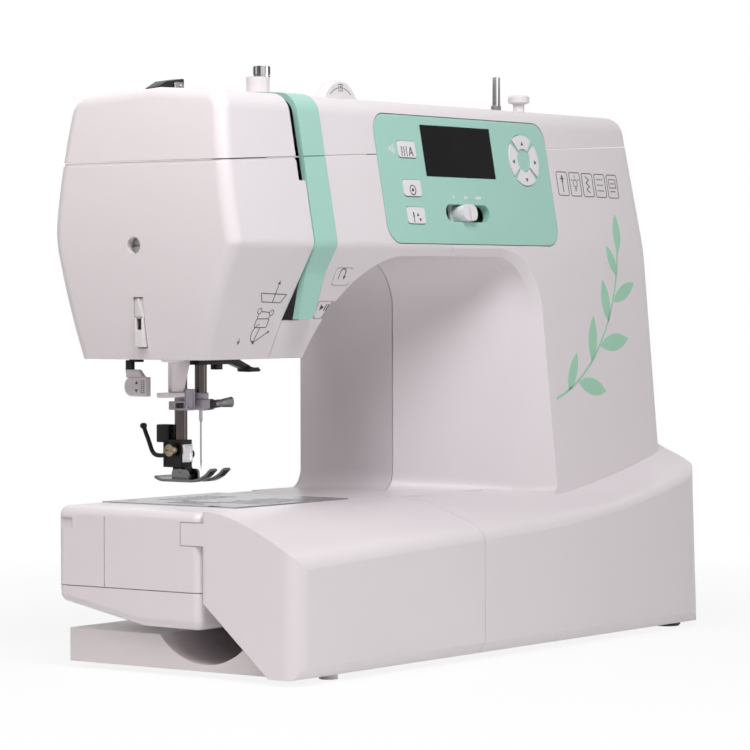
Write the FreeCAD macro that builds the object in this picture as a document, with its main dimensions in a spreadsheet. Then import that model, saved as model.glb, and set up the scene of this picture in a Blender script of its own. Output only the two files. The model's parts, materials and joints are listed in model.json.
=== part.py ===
import FreeCAD, Part
import math
import os
import re

import Sketcher

from FreeCAD import Placement, Rotation, Vector

# Sewing machine with a free arm: millimetres, +X along the arm to the handwheel,
# +Y to the back, +Z up, origin on the table under the middle of its box.

doc = FreeCAD.newDocument("sewing_machine")
dims = doc.addObject("Spreadsheet::Sheet", "dims")

DRIVING_SIZES = [
    # covers and their seams
    ("wall", 2.6, "thickness of a moulded cover"),
    ("seam", 0.4, "gap between two covers"),
    ("fit", 0.3, "gap round a piece that moves or drops into an opening"),
    ("run_fit", 0.05, "radial clearance of a shaft in its bore"),
    ("push_fit", 0.02, "radial clearance of a pin that stays where it is pushed"),
    ("feet_height", 3.5, "rubber foot"),
    ("left_x", -212.5, "end of the free arm and of the accessory box"),
    ("right_x", 199.5, "right wall of the base"),
    ("right_lean", 0.055, "inward lean of the right wall"),
    ("lean_z", 25, "level at which the right wall stands at its nominal place"),
    ("front_y", -82, "front of the base"),
    ("rear_y", 82, "back of the column and of the bed"),
    ("bed_top", 88, "top of the bed over the table"),
    # head and arm
    ("head_x", -216, "furthest point of the crowned left face"),
    ("head_bottom", 167, "underside of the head"),
    ("crown_z", 236, "height at which the left face stands furthest out"),
    ("crown_radius", 330, "bow of the left face"),
    ("crease_z", 228, "height of the crease along the front"),
    ("crease_y", -44.5, "front of the crease"),
    ("crease_round", 8, "round of the crease"),
    ("upper_lean", 0.18, "backward lean of the face over the crease"),
    ("lower_lean", 0.45, "inward lean of the face under the crease"),
    ("column_lean", 0.055, "forward lean of the column front"),
    ("top_front_z", 308, "front edge of the top"),
    ("top_mid_y", 16, "ridge of the top"),
    ("top_mid_z", 311, "height of that ridge"),
    ("top_back_y", 74, "back edge of the top"),
    ("top_back_z", 307, "height of the back edge of the top"),
    ("back_mid_z", 232, "height at which the back bulges most"),
    ("head_back_y", 68.5, "back of the head at its underside"),
    ("edge_round", 12, "round along the top edges"),
    ("back_round", 60, "round of the bulging back"),
    ("head_round", 7, "round of the upright edges of the head"),
    ("column_round", 11, "round of the upright edges of the column"),
    ("throat_top", 222.5, "ceiling of the throat"),
    ("arch_radius", 62, "arch between head and arm"),
    ("arch_x", -124, "upright side of the arch"),
    ("throat_wall_x", 2.7, "throat wall at the back"),
    ("band_x", 52, "throat wall where the slanted part meets the band"),
    ("band_y", -35, "depth at which the band starts"),
    ("band_slope", 1.3, "sideways run of the band for each millimetre of depth"),
    ("throat_round", 30, "round between throat wall and ceiling"),
    ("foot_round", 12, "round between throat wall and bed"),
    ("mouth_round", 1.5, "growth of the throat round at the flared mouth"),
    ("inner_round", 1.2, "growth of the throat round where the flare starts"),
    ("front_foot", 0.25, "share of the foot round that is left at the front"),
    ("band_foot", 0.3333, "share of the foot round at the band"),
    ("throat_drop", 1, "how far the throat reaches into the bed"),
    ("joint_x", -20, "plane where arm and column meet"),
    ("split_y", 15, "parting plane of front and rear covers"),
    ("lid_z", 271.5, "seam of the top cover at the left face"),
    ("lid_groove", 1.6, "moulded groove under the seam of the top cover"),
    ("lid_rise", 0.049, "rise of that seam towards the right"),
    # base and free arm
    ("box_x", -43, "right end of the accessory box"),
    ("arm_front_y", -18, "front of the free arm"),
    ("arm_seam_z", 45.3, "seam between arm cover and arm bottom"),
    ("arm_panel_y", 47.8, "upright seam in the end of the arm"),
    ("arm_bottom_z", 25.5, "underside of the free arm at the front"),
    ("arm_chine_z", 36.8, "underside of the free arm at the back"),
    ("tray_x", -203.5, "left end of the base tray"),
    ("tray_block_z", 21.5, "top of the tray under the arm"),
    ("tray_floor", 3, "floor thickness of the tray"),
    ("scoop_radius", 40, "scoop in the tray"),
    ("scoop_y", -14, "middle of that scoop"),
    ("base_corner", 27, "round of the front right corner of the base"),
    ("chamfer_run", 4.5, "depth of the bevel along the foot of the base"),
    ("chamfer_rise", 6, "height of that bevel"),
    ("foot_pad_radius", 8, "rubber foot radius"),
    # thread channel cover on the head
    ("strip_left", -147.5, "left edge of the thread channel cover"),
    ("strip_width", 19, "width of the thread channel cover"),
    ("strip_tip_z", 188, "lower end of the thread channel cover"),
    ("strip_back_y", -4, "upper end of the thread channel cover"),
    ("strip_rise", 0.8, "how far the thread channel cover stands proud"),
    ("tongue_bend_z", 213, "height where the thread channel cover leaves the leaning face"),
    ("tongue_lean", 0.17, "lean of its free tongue"),
    ("tongue_thick", 4, "thickness of its free tongue"),
    ("tongue_drift", 1.8, "shift of the left edge at the tip of the tongue"),
    ("tongue_taper", 7.5, "shift of the right edge at the tip of the tongue"),
    ("tongue_round", 5, "round of the lower right corner of the tongue"),
    ("tongue_sweep", 24, "soft bend where the tongue leaves the face"),
    ("slot_width", 5.9, "take-up slot beside the thread channel cover"),
    ("slot_z", 262, "lower end of the take-up slot"),
    # control panel
    ("panel_left", -80, "left edge of the control panel"),
    ("panel_right", 89, "right edge of the control panel"),
    ("panel_low", 229.5, "lower edge of the control panel"),
    ("panel_high", 301, "upper edge of the control panel"),
    ("panel_round", 11, "corners of the control panel"),
    ("panel_flange", 3, "hidden rim behind the cover"),
    ("panel_thick", 5, "depth of the panel with its rim"),
    ("screen_x", -1.5, "middle of the display"),
    ("screen_z", 281.7, "height of the middle of the display"),
    ("screen_width", 69, "display width"),
    ("screen_height", 29.5, "display height"),
    ("key_x", -52, "column of square keys"),
    ("key_width", 17, "square key width"),
    ("key_height", 9.8, "square key height"),
    ("key_top_z", 281.7, "upper square key"),
    ("key_mid_z", 260.2, "middle square key"),
    ("key_low_z", 245, "lower square key"),
    ("key_rise", 0.6, "how far a key stands proud of the panel"),
    ("key_round", 1.8, "rounded corner of a key"),
    ("key_rim", 1, "rim of a key behind its wall"),
    ("pad_x", 63.6, "middle of the cursor pad"),
    ("pad_z", 279, "height of the middle of the cursor pad"),
    ("pad_radius", 15.3, "outer radius of the cursor pad"),
    ("pad_core", 6.5, "inner radius of the cursor keys"),
    ("slider_x", -3, "speed slider at rest"),
    ("slider_z", 247, "height of the speed slider"),
    ("slider_slot", 43, "length of the slider slot"),
    ("slider_height", 10, "height of the slider slot"),
    ("slider_knob", 14, "width of the slider knob"),
    ("slider_shift", 2.3, "middle of the slider slot right of the knob at rest"),
    ("slider_round", 4.8, "rounded ends of the slider slot"),
    ("knob_round", 4.2, "rounded corners of the slider knob"),
    ("knob_groove", 1.6, "finger groove of the slider knob"),
    ("knob_groove_depth", 2.4, "depth of that groove"),
    ("runner_thick", 1.5, "runner of the slider behind the panel"),
    ("runner_lap", 2, "lap of that runner behind the panel"),
    ("slider_rise", 3.2, "how far the slider knob stands proud"),
    ("board_gap", 9, "distance of the circuit board behind the panel face"),
    ("board_thick", 1.6, "circuit board"),
    ("board_post", 3, "posts that carry the circuit board"),
    ("board_post_x", 8, "posts of the board from the sides of the panel"),
    ("board_post_z", 10, "posts of the board from the upper and lower edge of the panel"),
    # keys on the lower face of the head
    ("reverse_x", -113.5, "reverse key"),
    ("reverse_z", 211, "height of the reverse key"),
    ("start_x", -119.2, "start and stop key"),
    ("start_z", 193, "height of the start and stop key"),
    ("head_key_width", 15.5, "width of a key on the head"),
    ("head_key_height", 10.5, "height of a key on the head"),
    ("head_key_rise", 0.3, "how far a key on the head stands proud"),
    # needle and presser
    ("needle_x", -159.5, "needle line"),
    ("needle_y", 24.5, "needle line"),
    ("needle_tip_z", 106, "needle point at the top of its stroke"),
    ("needle_length", 38.5, "needle"),
    ("shank_radius", 1, "needle shank"),
    ("needle_bar_radius", 3.3, "needle bar"),
    ("needle_bar_top", 246, "upper end of the needle bar"),
    ("clamp_width", 11, "needle clamp"),
    ("clamp_height", 15, "needle clamp"),
    ("presser_y", 38.5, "presser bar line"),
    ("presser_radius", 3.5, "presser bar"),
    ("presser_top", 246, "upper end of the presser bar"),
    ("sole_z", 100, "sole of the raised presser foot"),
    ("sole_length", 43, "presser foot length"),
    ("sole_width", 17, "presser foot width"),
    ("sole_thick", 1.8, "presser foot sole"),
    ("ankle_pin_z", 106, "pin that the presser foot rocks on"),
    ("ankle_width", 12, "foot holder width"),
    # bed pieces
    ("plate_left", -178, "needle plate"),
    ("plate_right", -78, "needle plate"),
    ("plate_front", -14, "needle plate"),
    ("plate_back", 79, "needle plate"),
    ("plate_thick", 1.2, "needle plate"),
    ("plate_rise", 0.5, "how far the needle plate stands over the bed"),
    ("window_right", -138, "right edge of the bobbin cover"),
    ("window_back", 17, "back edge of the bobbin cover"),
    ("hook_y", 1.5, "middle of the rotary hook"),
    ("hook_radius", 14.5, "rotary hook"),
    ("hook_top", 82, "rim of the rotary hook"),
    ("hook_depth", 16, "cup of the rotary hook"),
    ("bobbin_radius", 10.2, "bobbin"),
    ("bobbin_height", 11.4, "bobbin"),
    ("feed_row", 6.5, "distance of the outer feed rows from the needle"),
    ("feed_width", 3, "width of a feed row"),
    ("feed_front", 19.5, "front end of the feed rows"),
    ("feed_back", 41, "back end of the feed rows"),
    ("feed_travel", 2, "feed travel to each side"),
    # drive
    ("shaft_y", 24.5, "main shaft"),
    ("shaft_z", 256, "main shaft"),
    ("shaft_radius", 5, "main shaft"),
    ("crank_radius", 12, "crank disc"),
    ("wheel_radius", 32, "handwheel"),
    ("wheel_width", 15.8, "handwheel"),
    ("wheel_gap", 0.7, "handwheel clearance from the column"),
    ("lower_y", 20.5, "lower shaft"),
    ("lower_z", 50, "lower shaft"),
    ("lower_radius", 4, "lower shaft"),
    ("gear_radius", 9, "crossed gears under the hook"),
    ("motor_y", 18, "motor"),
    ("motor_z", 140, "motor"),
    ("motor_radius", 26, "motor"),
    ("motor_length", 66, "motor"),
    ("motor_pulley_radius", 8, "motor pulley"),
    ("main_pulley_radius", 24, "main shaft pulley"),
    ("timing_radius", 13, "timing pulleys"),
    ("pulley_width", 8, "pulleys"),
    ("belt_thick", 2, "belts"),
    ("chassis_y", 50, "front of the cast chassis"),
    ("chassis_depth", 10, "depth of the cast chassis"),
    ("chassis_right", 118, "right side of the cast chassis"),
    # top pieces
    ("dial_x", -84, "thread tension dial"),
    ("dial_y", -10, "thread tension dial"),
    ("dial_z", 302, "axis of the thread tension dial"),
    ("dial_radius", 17, "thread tension dial"),
    ("dial_width", 7, "thread tension dial"),
    ("post_x", -130, "bobbin thread guide post"),
    ("post_y", 8, "bobbin thread guide post"),
    ("post_radius", 6.4, "bobbin thread guide post"),
    ("post_height", 8.5, "bobbin thread guide post over the ridge of the top"),
    ("spindle_x", 87, "bobbin winder spindle"),
    ("spindle_y", 0, "bobbin winder spindle"),
    ("spindle_radius", 2.9, "bobbin winder spindle"),
    ("spindle_height", 19, "bobbin winder spindle over the ridge of the top"),
    ("stop_x", 111, "bobbin winder stop"),
    ("stop_radius", 6.4, "bobbin winder stop"),
    ("guide_x", -176, "upper thread guide"),
    ("guide_y", 30, "upper thread guide"),
    ("spool_left", -58, "spool well"),
    ("spool_right", 58, "spool well"),
    ("spool_front", 22, "spool well"),
    ("spool_back", 58, "spool well"),
    ("spool_floor", 287, "spool well"),
    ("spool_pin_radius", 2.6, "spool pin"),
    # right wall
    ("inlet_y", 52, "power inlet"),
    ("inlet_z", 36, "power inlet"),
    ("switch_z", 66, "power switch"),
    ("screw_y", 23.7, "face cover screw"),
    ("screw_z", 227.3, "face cover screw"),
    ("screw_radius", 4.2, "face cover screw head"),
    ("cutter_y", 22.5, "thread cutter"),
    ("cutter_low", 173, "thread cutter"),
    ("cutter_high", 200, "thread cutter"),
    # levers under the head
    ("bar_room_left", 19, "opening under the head, left of the needle"),
    ("bar_room_front", 6, "opening under the head, behind the hook axis"),
    ("bar_room_back", 19, "opening under the head, behind the presser bar"),
    ("lever_room", 5, "opening round the buttonhole lever"),
    ("lifter_x", -141, "axis of the presser foot lifter"),
    ("lifter_z", 175, "axis of the presser foot lifter"),
    ("lifter_reach", 42, "reach of the presser foot lifter"),
    ("hole_lever_x", -183, "buttonhole lever"),
    ("hole_lever_y", 50, "buttonhole lever"),
    ("hole_lever_z", 143, "lower end of the buttonhole lever"),
    # further sizes of the moulded form and of the bed
    ("column_crease_round", 160, "round of the crease where it runs out on the column"),
    ("throat_lead", 8.5, "run of the flared mouth of the throat"),
    ("throat_clear", 0.2, "mouth of the throat beyond the front faces"),
    ("ridge_left_z", 65, "ridge of the base at its left end"),
    ("ridge_seam_z", 71, "ridge of the base at the accessory box seam"),
    ("ridge_slope", 0.037, "rise of the ridge towards the right"),
    ("ridge_sweep", 21, "further rise of the ridge at the right end"),
    ("sweep_x", 10, "where the ridge starts to sweep up"),
    ("shoulder_rise", 25, "rise of the base from its ridge to the column"),
    ("shoulder_x", 45, "where the bed starts to turn into the shoulder"),
    ("shoulder_run", 60, "length over which it turns"),
    ("bed_bow", 1.6, "bow of the base between ridge and bed"),
    ("lip_drop", 5, "round over of the ridge"),
    ("lip_share", 0.08, "share of the depth that the round over takes"),
    ("bed_lap", 6, "how far the base runs in front of the free arm line"),
    ("arm_back_y", 81.5, "back of the free arm"),
    ("arm_chine_y", 80.5, "back edge of the underside of the arm"),
    ("arm_keel_y", 23, "where the underside of the arm turns up"),
    ("arm_keel_z", 26, "height of that turn"),
    ("arm_round", 5, "rounded edges of the free arm"),
    ("groove", 0.6, "fine moulded groove"),
    ("notch_y", 70.6, "finger notch at the end of the arm"),
    ("notch_low", 76.6, "finger notch"),
    ("notch_high", 82, "finger notch"),
    ("notch_depth", 1.2, "finger notch"),
    ("tab_y", -5, "end of the clip of the accessory box"),
    ("tab_low", 70, "clip of the accessory box"),
    ("tab_high", 82, "clip of the accessory box"),
    ("tab_thick", 2.2, "clip of the accessory box"),
    ("box_corner", 10, "round of the left front corner of the accessory box"),
    ("hollow_y", -41, "middle of the hollow under the accessory box"),
    ("hollow_z", 22.6, "height of that hollow"),
    ("hollow_slope", 0.855, "slope of that hollow"),
    ("nub_radius", 5, "stub foot of the accessory box"),
    ("nub_clear", 0.5, "stub foot above the table"),
    ("nub_x", -170, "stub foot of the accessory box"),
    ("nub_y", -70, "stub foot of the accessory box"),
    ("tray_back_y", 80, "back edge of the tray under the arm"),
    ("tray_lip_gap", 1.4, "gap between the tray and the accessory box"),
    ("scoop_low", 7, "lowest point of the scoop"),
    ("foot_left_x", -160, "left rubber feet"),
    ("foot_right_x", 180, "right rubber feet"),
    ("foot_back_y", 65, "back rubber feet"),
    ("foot_inner_y", -34, "front foot under the arm"),
    ("foot_front_y", -62, "front foot under the column"),
    ("foot_taper", 1, "tapered rim of a rubber foot"),
    ("well_left", -176, "opening under the needle plate"),
    ("well_right", -120, "opening under the needle plate"),
    ("well_front", -12, "opening under the needle plate"),
    ("well_back", 58, "opening under the needle plate"),
    ("plate_screw_left", -165, "left screw of the needle plate"),
    ("plate_screw_right", -92, "right screw of the needle plate"),
    ("plate_screw_y", 69, "screws of the needle plate"),
    ("plate_screw_head", 3.4, "head radius of a needle plate screw"),
    ("plate_screw_shank", 1.6, "shank radius of a needle plate screw"),
    ("plate_screw_length", 9, "needle plate screw"),
    ("plate_screw_boss", 4.4, "boss for a needle plate screw"),
    ("face_screw_shank", 2, "shank radius of the face cover screw"),
    ("face_screw_head", 3, "head height of the face cover screw"),
    ("face_screw_length", 16, "length of the face cover screw"),
    ("face_screw_seat", 7, "depth of the seat of the face cover screw"),
    ("face_screw_rim", 3, "wall of the boss round that seat"),
    ("face_screw_lead", 5, "run of a cutter in front of the left face"),
    ("face_screw_reach", 40, "depth of the hole for the screw"),
    ("face_boss_start", 1, "start of the boss behind the left face"),
    ("cutter_room", 12, "depth of the pocket of the thread cutter"),
    ("face_screw_boss", 13, "boss for the face cover screw"),
    ("drive_slot", 1.2, "slot of a screw head"),
    ("cutter_width", 7, "thread cutter"),
    ("cutter_sink", 5, "thread cutter behind the crown"),
    ("cutter_depth", 7, "thread cutter"),
    ("cutter_slit", 1.4, "slit of the thread cutter"),
    ("feed_low", 79, "underside of the feed carrier"),
    ("feed_carrier", 4, "height of the feed carrier"),
    ("feed_top", 88.2, "tips of the feed teeth while lowered"),
    ("feed_rear", 57, "back end of the feed carrier"),
    ("feed_pitch", 2, "feed teeth"),
    ("feed_crest", 0.8, "share of the pitch at which a feed tooth is highest"),
    ("feed_tooth", 0.9, "feed teeth"),
    ("needle_hole", 3.2, "half width of the needle hole"),
    ("hook_wall", 3.1, "wall of the hook"),
    ("hook_floor", 2.5, "floor of the hook"),
    ("hook_stem", 4, "stem of the hook"),
    ("hook_foot", 35, "lower end of the hook stem"),
    ("gear_low", 46, "gear on the hook stem"),
    ("gear_high", 54, "gear on the hook stem"),
    ("bobbin_flange", 1.2, "flange of the bobbin"),
    ("bobbin_core", 4.5, "core of the bobbin"),
    ("bobbin_bore", 3, "bore of the bobbin"),
    ("cover_recess", 8, "thumb recess of the bobbin cover"),
    # sewing mechanism
    ("clamp_low", 134, "underside of the needle clamp"),
    ("clamp_depth", 10, "needle clamp"),
    ("clamp_screw_radius", 1.6, "needle clamp screw"),
    ("clamp_boss_radius", 3, "collar of the needle clamp screw"),
    ("clamp_boss_x", -148, "end of that collar"),
    ("clamp_knob_x", -139, "start of the screw knob"),
    ("clamp_knob_end", -130, "end of the screw knob"),
    ("clamp_knob_radius", 4.5, "knob of the needle clamp screw"),
    ("clamp_screw_z", 141.5, "axis of the needle clamp screw"),
    ("needle_blade", 0.5, "needle blade radius"),
    ("needle_taper", 5, "taper of the needle point"),
    ("needle_shoulder", 26, "length of the needle blade"),
    ("holder_low", 108, "underside of the foot holder collar"),
    ("holder_high", 124, "top of the foot holder collar"),
    ("holder_front", 31, "front of the foot holder"),
    ("holder_back", 46, "back of the foot holder"),
    ("bar_seat", 110, "lower end of the presser bar"),
    ("tongue_width", 6.4, "tongue of the foot holder"),
    ("tongue_low", 103.4, "lower end of that tongue"),
    ("ankle_pin_y", 35, "pin that the presser foot rocks on"),
    ("cheek_front", 4, "cheeks of the presser foot in front of that pin"),
    ("cheek_back", 5, "cheeks of the presser foot behind that pin"),
    ("ankle_pin_radius", 1.2, "pin that the presser foot rocks on"),
    ("cheek_thick", 1.4, "cheek of the presser foot"),
    ("cheek_room", 1.1, "room over the cheeks for the rock of the foot"),
    ("toe_y", 8, "toe of the presser foot"),
    ("toe_lift", 6, "upturn of the toe"),
    ("toe_run", 16, "length of the upturn"),
    ("toe_knee", 0.45, "share of the upturn that rises slowly"),
    ("toe_knee_lift", 0.22, "share of the rise at that place"),
    ("heel_lift", 2, "upturn of the heel"),
    ("heel_run", 6, "length of the heel's upturn"),
    ("toe_gap", 5, "gap between the toes"),
    ("foot_screw_z", 117, "foot holder screw"),
    ("foot_screw_x", -171, "outer end of the foot holder screw"),
    ("foot_screw_knob", 4.2, "knob of the foot holder screw"),
    ("foot_screw_grip", 3.6, "length of that knob"),
    ("foot_screw_collar", 3.5, "collar of the foot holder screw"),
    ("foot_screw_radius", 2, "foot holder screw"),
    ("release_y", 47.5, "axis of the foot release lever"),
    ("release_z", 114, "axis of the foot release lever"),
    ("release_radius", 1.1, "barrel of the foot release lever"),
    ("release_width", 10, "foot release lever"),
    ("release_reach", 14, "reach of the foot release lever"),
    ("release_rise", 16.5, "height of its upturned end"),
    ("release_bend", 7.5, "where the foot release lever turns up"),
    ("release_bend_rise", 1.5, "rise of the lever at that place"),
    ("release_thick", 2, "upturned end of the foot release lever"),
    ("holder_lug_front", 42.8, "lug at the back of the foot holder"),
    ("holder_lug_depth", 8.6, "depth of that lug"),
    ("holder_lug_low", 120, "underside of that lug"),
    ("holder_lug_high", 131, "top of that lug"),
    ("holder_lug_width", 7, "width of that lug"),
    ("lifter_y", 32, "front of the presser foot lifter"),
    ("lifter_depth", 8, "depth of the presser foot lifter"),
    ("lifter_boss", 6, "boss of the presser foot lifter"),
    ("lifter_drop", 17, "drop of the lifter from its axis to its tip"),
    ("lifter_half", 3.6, "half height of the lifter arm"),
    ("lifter_pin", 2.5, "pin of the presser foot lifter"),
    ("stem_width", 5, "stem of the buttonhole lever"),
    ("stem_depth", 6, "stem of the buttonhole lever"),
    ("stem_top", 244, "upper end of the buttonhole stem"),
    ("hole_knob_height", 22, "grip of the buttonhole lever"),
    ("hole_knob_width", 9, "grip of the buttonhole lever"),
    ("hole_knob_depth", 12, "grip of the buttonhole lever"),
    ("threader_x", -171, "rod of the needle threader"),
    ("threader_y", 26, "rod of the needle threader"),
    ("threader_radius", 2.2, "rod of the needle threader"),
    ("threader_low", 150, "underside of the needle threader"),
    ("threader_height", 9, "body of the needle threader"),
    ("threader_left", -187, "finger tab of the needle threader"),
    ("threader_right", -166.6, "right side of the needle threader"),
    ("threader_depth", 8, "body of the needle threader"),
    ("threader_hook", 12, "hook arm of the needle threader"),
    ("take_up_x", -150.9, "take-up lever"),
    ("take_up_thick", 2.3, "take-up lever"),
    ("take_up_y", 40, "axis of the take-up lever"),
    ("take_up_z", 262, "axis of the take-up lever"),
    ("take_up_boss", 7, "boss of the take-up lever"),
    ("take_up_pin", 3, "pin of the take-up lever"),
    ("take_up_tip_y", -25, "tip of the take-up lever"),
    ("take_up_tip_z", 285, "tip of the take-up lever"),
    ("take_up_tip", 5, "tip of the take-up lever"),
    ("take_up_eye", 1.6, "eye of the take-up lever"),
    # drive
    ("crank_x", -138, "left end of the main shaft"),
    ("crank_width", 5, "crank disc"),
    ("timing_x", 122, "timing pulleys"),
    ("drive_x", 133, "drive pulleys"),
    ("shaft_end", 212, "right end of the main shaft"),
    ("wheel_bevel", 4, "bevelled rim of the handwheel"),
    ("wheel_hub", 18, "hub between handwheel and column"),
    ("wheel_hub_length", 11, "length of that hub"),
    ("wheel_dish", 24, "dished middle of the handwheel"),
    ("wheel_dish_depth", 3, "dished middle of the handwheel"),
    ("wheel_bore_depth", 12.2, "bore of the handwheel"),
    ("gear_x", -164, "gear on the lower shaft"),
    ("gear_width", 9, "gear on the lower shaft"),
    ("motor_x", 50, "left end of the motor"),
    ("motor_shaft", 3, "motor shaft"),
    ("motor_boss", 9, "motor boss"),
    ("motor_boss_length", 4, "motor boss"),
    ("chassis_left", -176, "left side of the chassis"),
    ("beam_low", 236, "beam of the chassis in the arm"),
    ("beam_height", 30, "beam of the chassis in the arm"),
    ("bed_beam_low", 42, "beam of the chassis in the bed"),
    ("bed_beam_height", 18, "beam of the chassis in the bed"),
    ("upright_left", 96, "upright of the chassis"),
    ("guide_low", 176, "lower bar guide"),
    ("guide_thick", 8, "bar guides"),
    ("guide_front", 16, "front of the bar guides"),
    ("guide_width", 26.5, "bar guides"),
    ("lug_width", 8, "bearing lugs"),
    ("lug_margin", 6, "metal round a bearing bore"),
    ("upper_lug_left", -130, "left bearing of the main shaft"),
    ("lower_lug_left", -148, "left bearing of the lower shaft"),
    ("lug_right", 104, "right bearings"),
    ("hook_lug_low", 35.6, "bearing of the hook"),
    ("hook_lug_height", 4.6, "bearing of the hook"),
    ("hook_lug_half", 7, "half width of the hook bearing"),
    ("hook_lug_back", 55, "back of the hook bearing"),
    ("rail_front", 46, "rail under the feed carrier"),
    ("take_up_lug_x", -147, "lug of the take-up lever"),
    ("take_up_lug_width", 6, "lug of the take-up lever"),
    ("lifter_lug_front", 42, "lug of the presser foot lifter"),
    ("lifter_lug_half", 8, "half width of the lifter lug"),
    ("lifter_lug_low", 170.6, "lug of the presser foot lifter"),
    ("bracket_x", 60, "motor bracket"),
    ("bracket_length", 48, "motor bracket"),
    ("bracket_front", 34, "motor bracket"),
    ("bracket_half", 18, "half height of the motor bracket"),
    # lamp, top pieces and right wall
    ("lamp_x", -190, "lamp under the head"),
    ("lamp_y", 18, "lamp under the head"),
    ("lamp_size", 10, "lamp under the head"),
    ("lamp_height", 3.6, "lamp under the head"),
    ("dial_axle", 2, "axle of the tension dial"),
    ("dial_ear", 3, "ears that hold the dial axle"),
    ("dial_groove", 1, "grooves round the tension dial"),
    ("cap_stem_height", 1.2, "top of the groove under the guide cap"),
    ("cap_radius", 4.8, "guide cap"),
    ("cap_shift_x", 1.6, "guide cap right of the middle of its post"),
    ("cap_shift_y", 1.2, "guide cap in front of the middle of its post"),
    ("cap_neck", 4.2, "groove under the guide cap"),
    ("cap_rim", 0.6, "rim under that groove"),
    ("cap_height", 6, "guide cap over its post"),
    ("cap_bevel", 0.4, "bevelled rim of the guide cap"),
    ("spindle_low", 288, "lower end of the winder spindle"),
    ("spindle_flange", 4.6, "flange of the winder spindle"),
    ("spindle_flange_height", 1, "flange of the winder spindle"),
    ("spindle_tip", 1.8, "tip of the winder spindle"),
    ("spindle_boss", 6.5, "boss of the top cover round the spindle"),
    ("stop_stem", 3, "stem of the winder stop"),
    ("stop_low", 300, "lower end of the stem of the winder stop"),
    ("stop_neck", 3.4, "neck of the winder stop"),
    ("stop_bevel", 1, "bevelled rims of the winder stop"),
    ("stop_edge", 4.4, "height of the neck"),
    ("stop_height", 9, "winder stop over the ridge of the top"),
    ("guide_length", 40, "upper thread guide"),
    ("guide_depth", 12, "upper thread guide"),
    ("guide_height", 6.5, "upper thread guide over the ridge of the top"),
    ("guide_low_height", 0.6, "low end of the upper thread guide over the ridge"),
    ("guide_knee", 0.34, "share of the guide length at its knee"),
    ("guide_knee_share", 0.6, "share of the guide height at its knee"),
    ("guide_crest", 0.72, "share of the guide length where it is highest"),
    ("guide_round", 13, "rounded back of the upper thread guide"),
    ("seat_gap", 0.1, "gap under a piece that sits on a cover"),
    ("spool_pin_y", 40, "spool pin"),
    ("spool_pin_z", 299, "spool pin"),
    ("spool_pin_left", -48, "free end of the spool pin"),
    ("spool_pin_right", 64, "held end of the spool pin"),
    ("spool_collar", 6, "collar of the spool pin"),
    ("spool_collar_x", 50, "collar of the spool pin"),
    ("spool_collar_width", 3, "collar of the spool pin"),
    ("inlet_width", 24, "power inlet"),
    ("inlet_height", 16, "power inlet"),
    ("inlet_depth", 18, "power inlet"),
    ("inlet_rim", 2.5, "rim of the power inlet"),
    ("inlet_pin", 1.4, "contact pins of the power inlet"),
    ("inlet_pin_half", 4.5, "half spacing of the contact pins"),
    ("switch_width", 22, "power switch"),
    ("switch_height", 26, "power switch"),
    ("rocker_radius", 12.2, "rocker of the power switch"),
    ("rocker_x", 192.5, "axis of the rocker"),
    ("rocker_rise", 1.6, "rocker beyond the wall at its middle"),
    ("rocker_lean", 0.16, "lean of the two rocker faces"),
]

for row, (alias, value, meaning) in enumerate(DRIVING_SIZES, start=1):
    dims.set("A%d" % row, meaning)
    dims.set("B%d" % row, str(value))
    dims.setAlias("B%d" % row, alias)
doc.recompute()

ALIASES = {alias for alias, value, meaning in DRIVING_SIZES}
nodes = []


def size(alias):
    """The number that a cell of the sheet holds."""
    return float(dims.get(alias))


def formula(text):
    """An expression on the sheet: every alias in the text becomes its cell."""
    return re.sub(r"[a-z_]+",
                  lambda word: "dims." + word.group() if word.group() in ALIASES else word.group(),
                  str(text))


def bind(item, prop, text):
    item.setExpression(prop, formula(text))


def put(item, at, rotation=None):
    """Place an item: the turn is fixed, the position follows the sheet."""
    item.Placement = Placement(Vector(), rotation or Rotation())
    for axis, text in zip("xyz", at):
        bind(item, "Placement.Base." + axis, text)
    return item


AXIS_TURN = {
    "z": Rotation(),
    "x": Rotation(Vector(0, 1, 0), 90),
    "y": Rotation(Vector(1, 0, 0), -90),
}


def block(at, extent):
    """A box from its low corner."""
    item = doc.addObject("Part::Box", "block")
    for prop, text in zip(("Length", "Width", "Height"), extent):
        bind(item, prop, text)
    return put(item, at)


def rod(at, radius, length, axis="z"):
    """A cylinder that starts at a point and runs along an axis."""
    item = doc.addObject("Part::Cylinder", "rod")
    bind(item, "Radius", radius)
    bind(item, "Height", length)
    return put(item, at, AXIS_TURN[axis])


def cone(at, low_radius, high_radius, length, axis="z"):
    item = doc.addObject("Part::Cone", "cone")
    bind(item, "Radius1", low_radius)
    bind(item, "Radius2", high_radius)
    bind(item, "Height", length)
    return put(item, at, AXIS_TURN[axis])


def join(*members):
    item = doc.addObject("Part::MultiFuse", "join")
    item.Shapes = list(members)
    return item


def cut(base, *tools):
    item = doc.addObject("Part::Cut", "cut")
    item.Base = base
    item.Tool = tools[0] if len(tools) == 1 else join(*tools)
    return item


def common(first, second):
    item = doc.addObject("Part::Common", "common")
    item.Base = first
    item.Tool = second
    return item


def node(label, item):
    """Name a finished sub-part."""
    item.Label = label
    nodes.append(item)
    return item


def feature(label, shape):
    """A sub-part whose free-form shape is worked out below."""
    item = doc.addObject("Part::Feature", label)
    item.Shape = shape
    return node(label, item)


def solid_of(item):
    doc.recompute()
    return item.Shape


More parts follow.
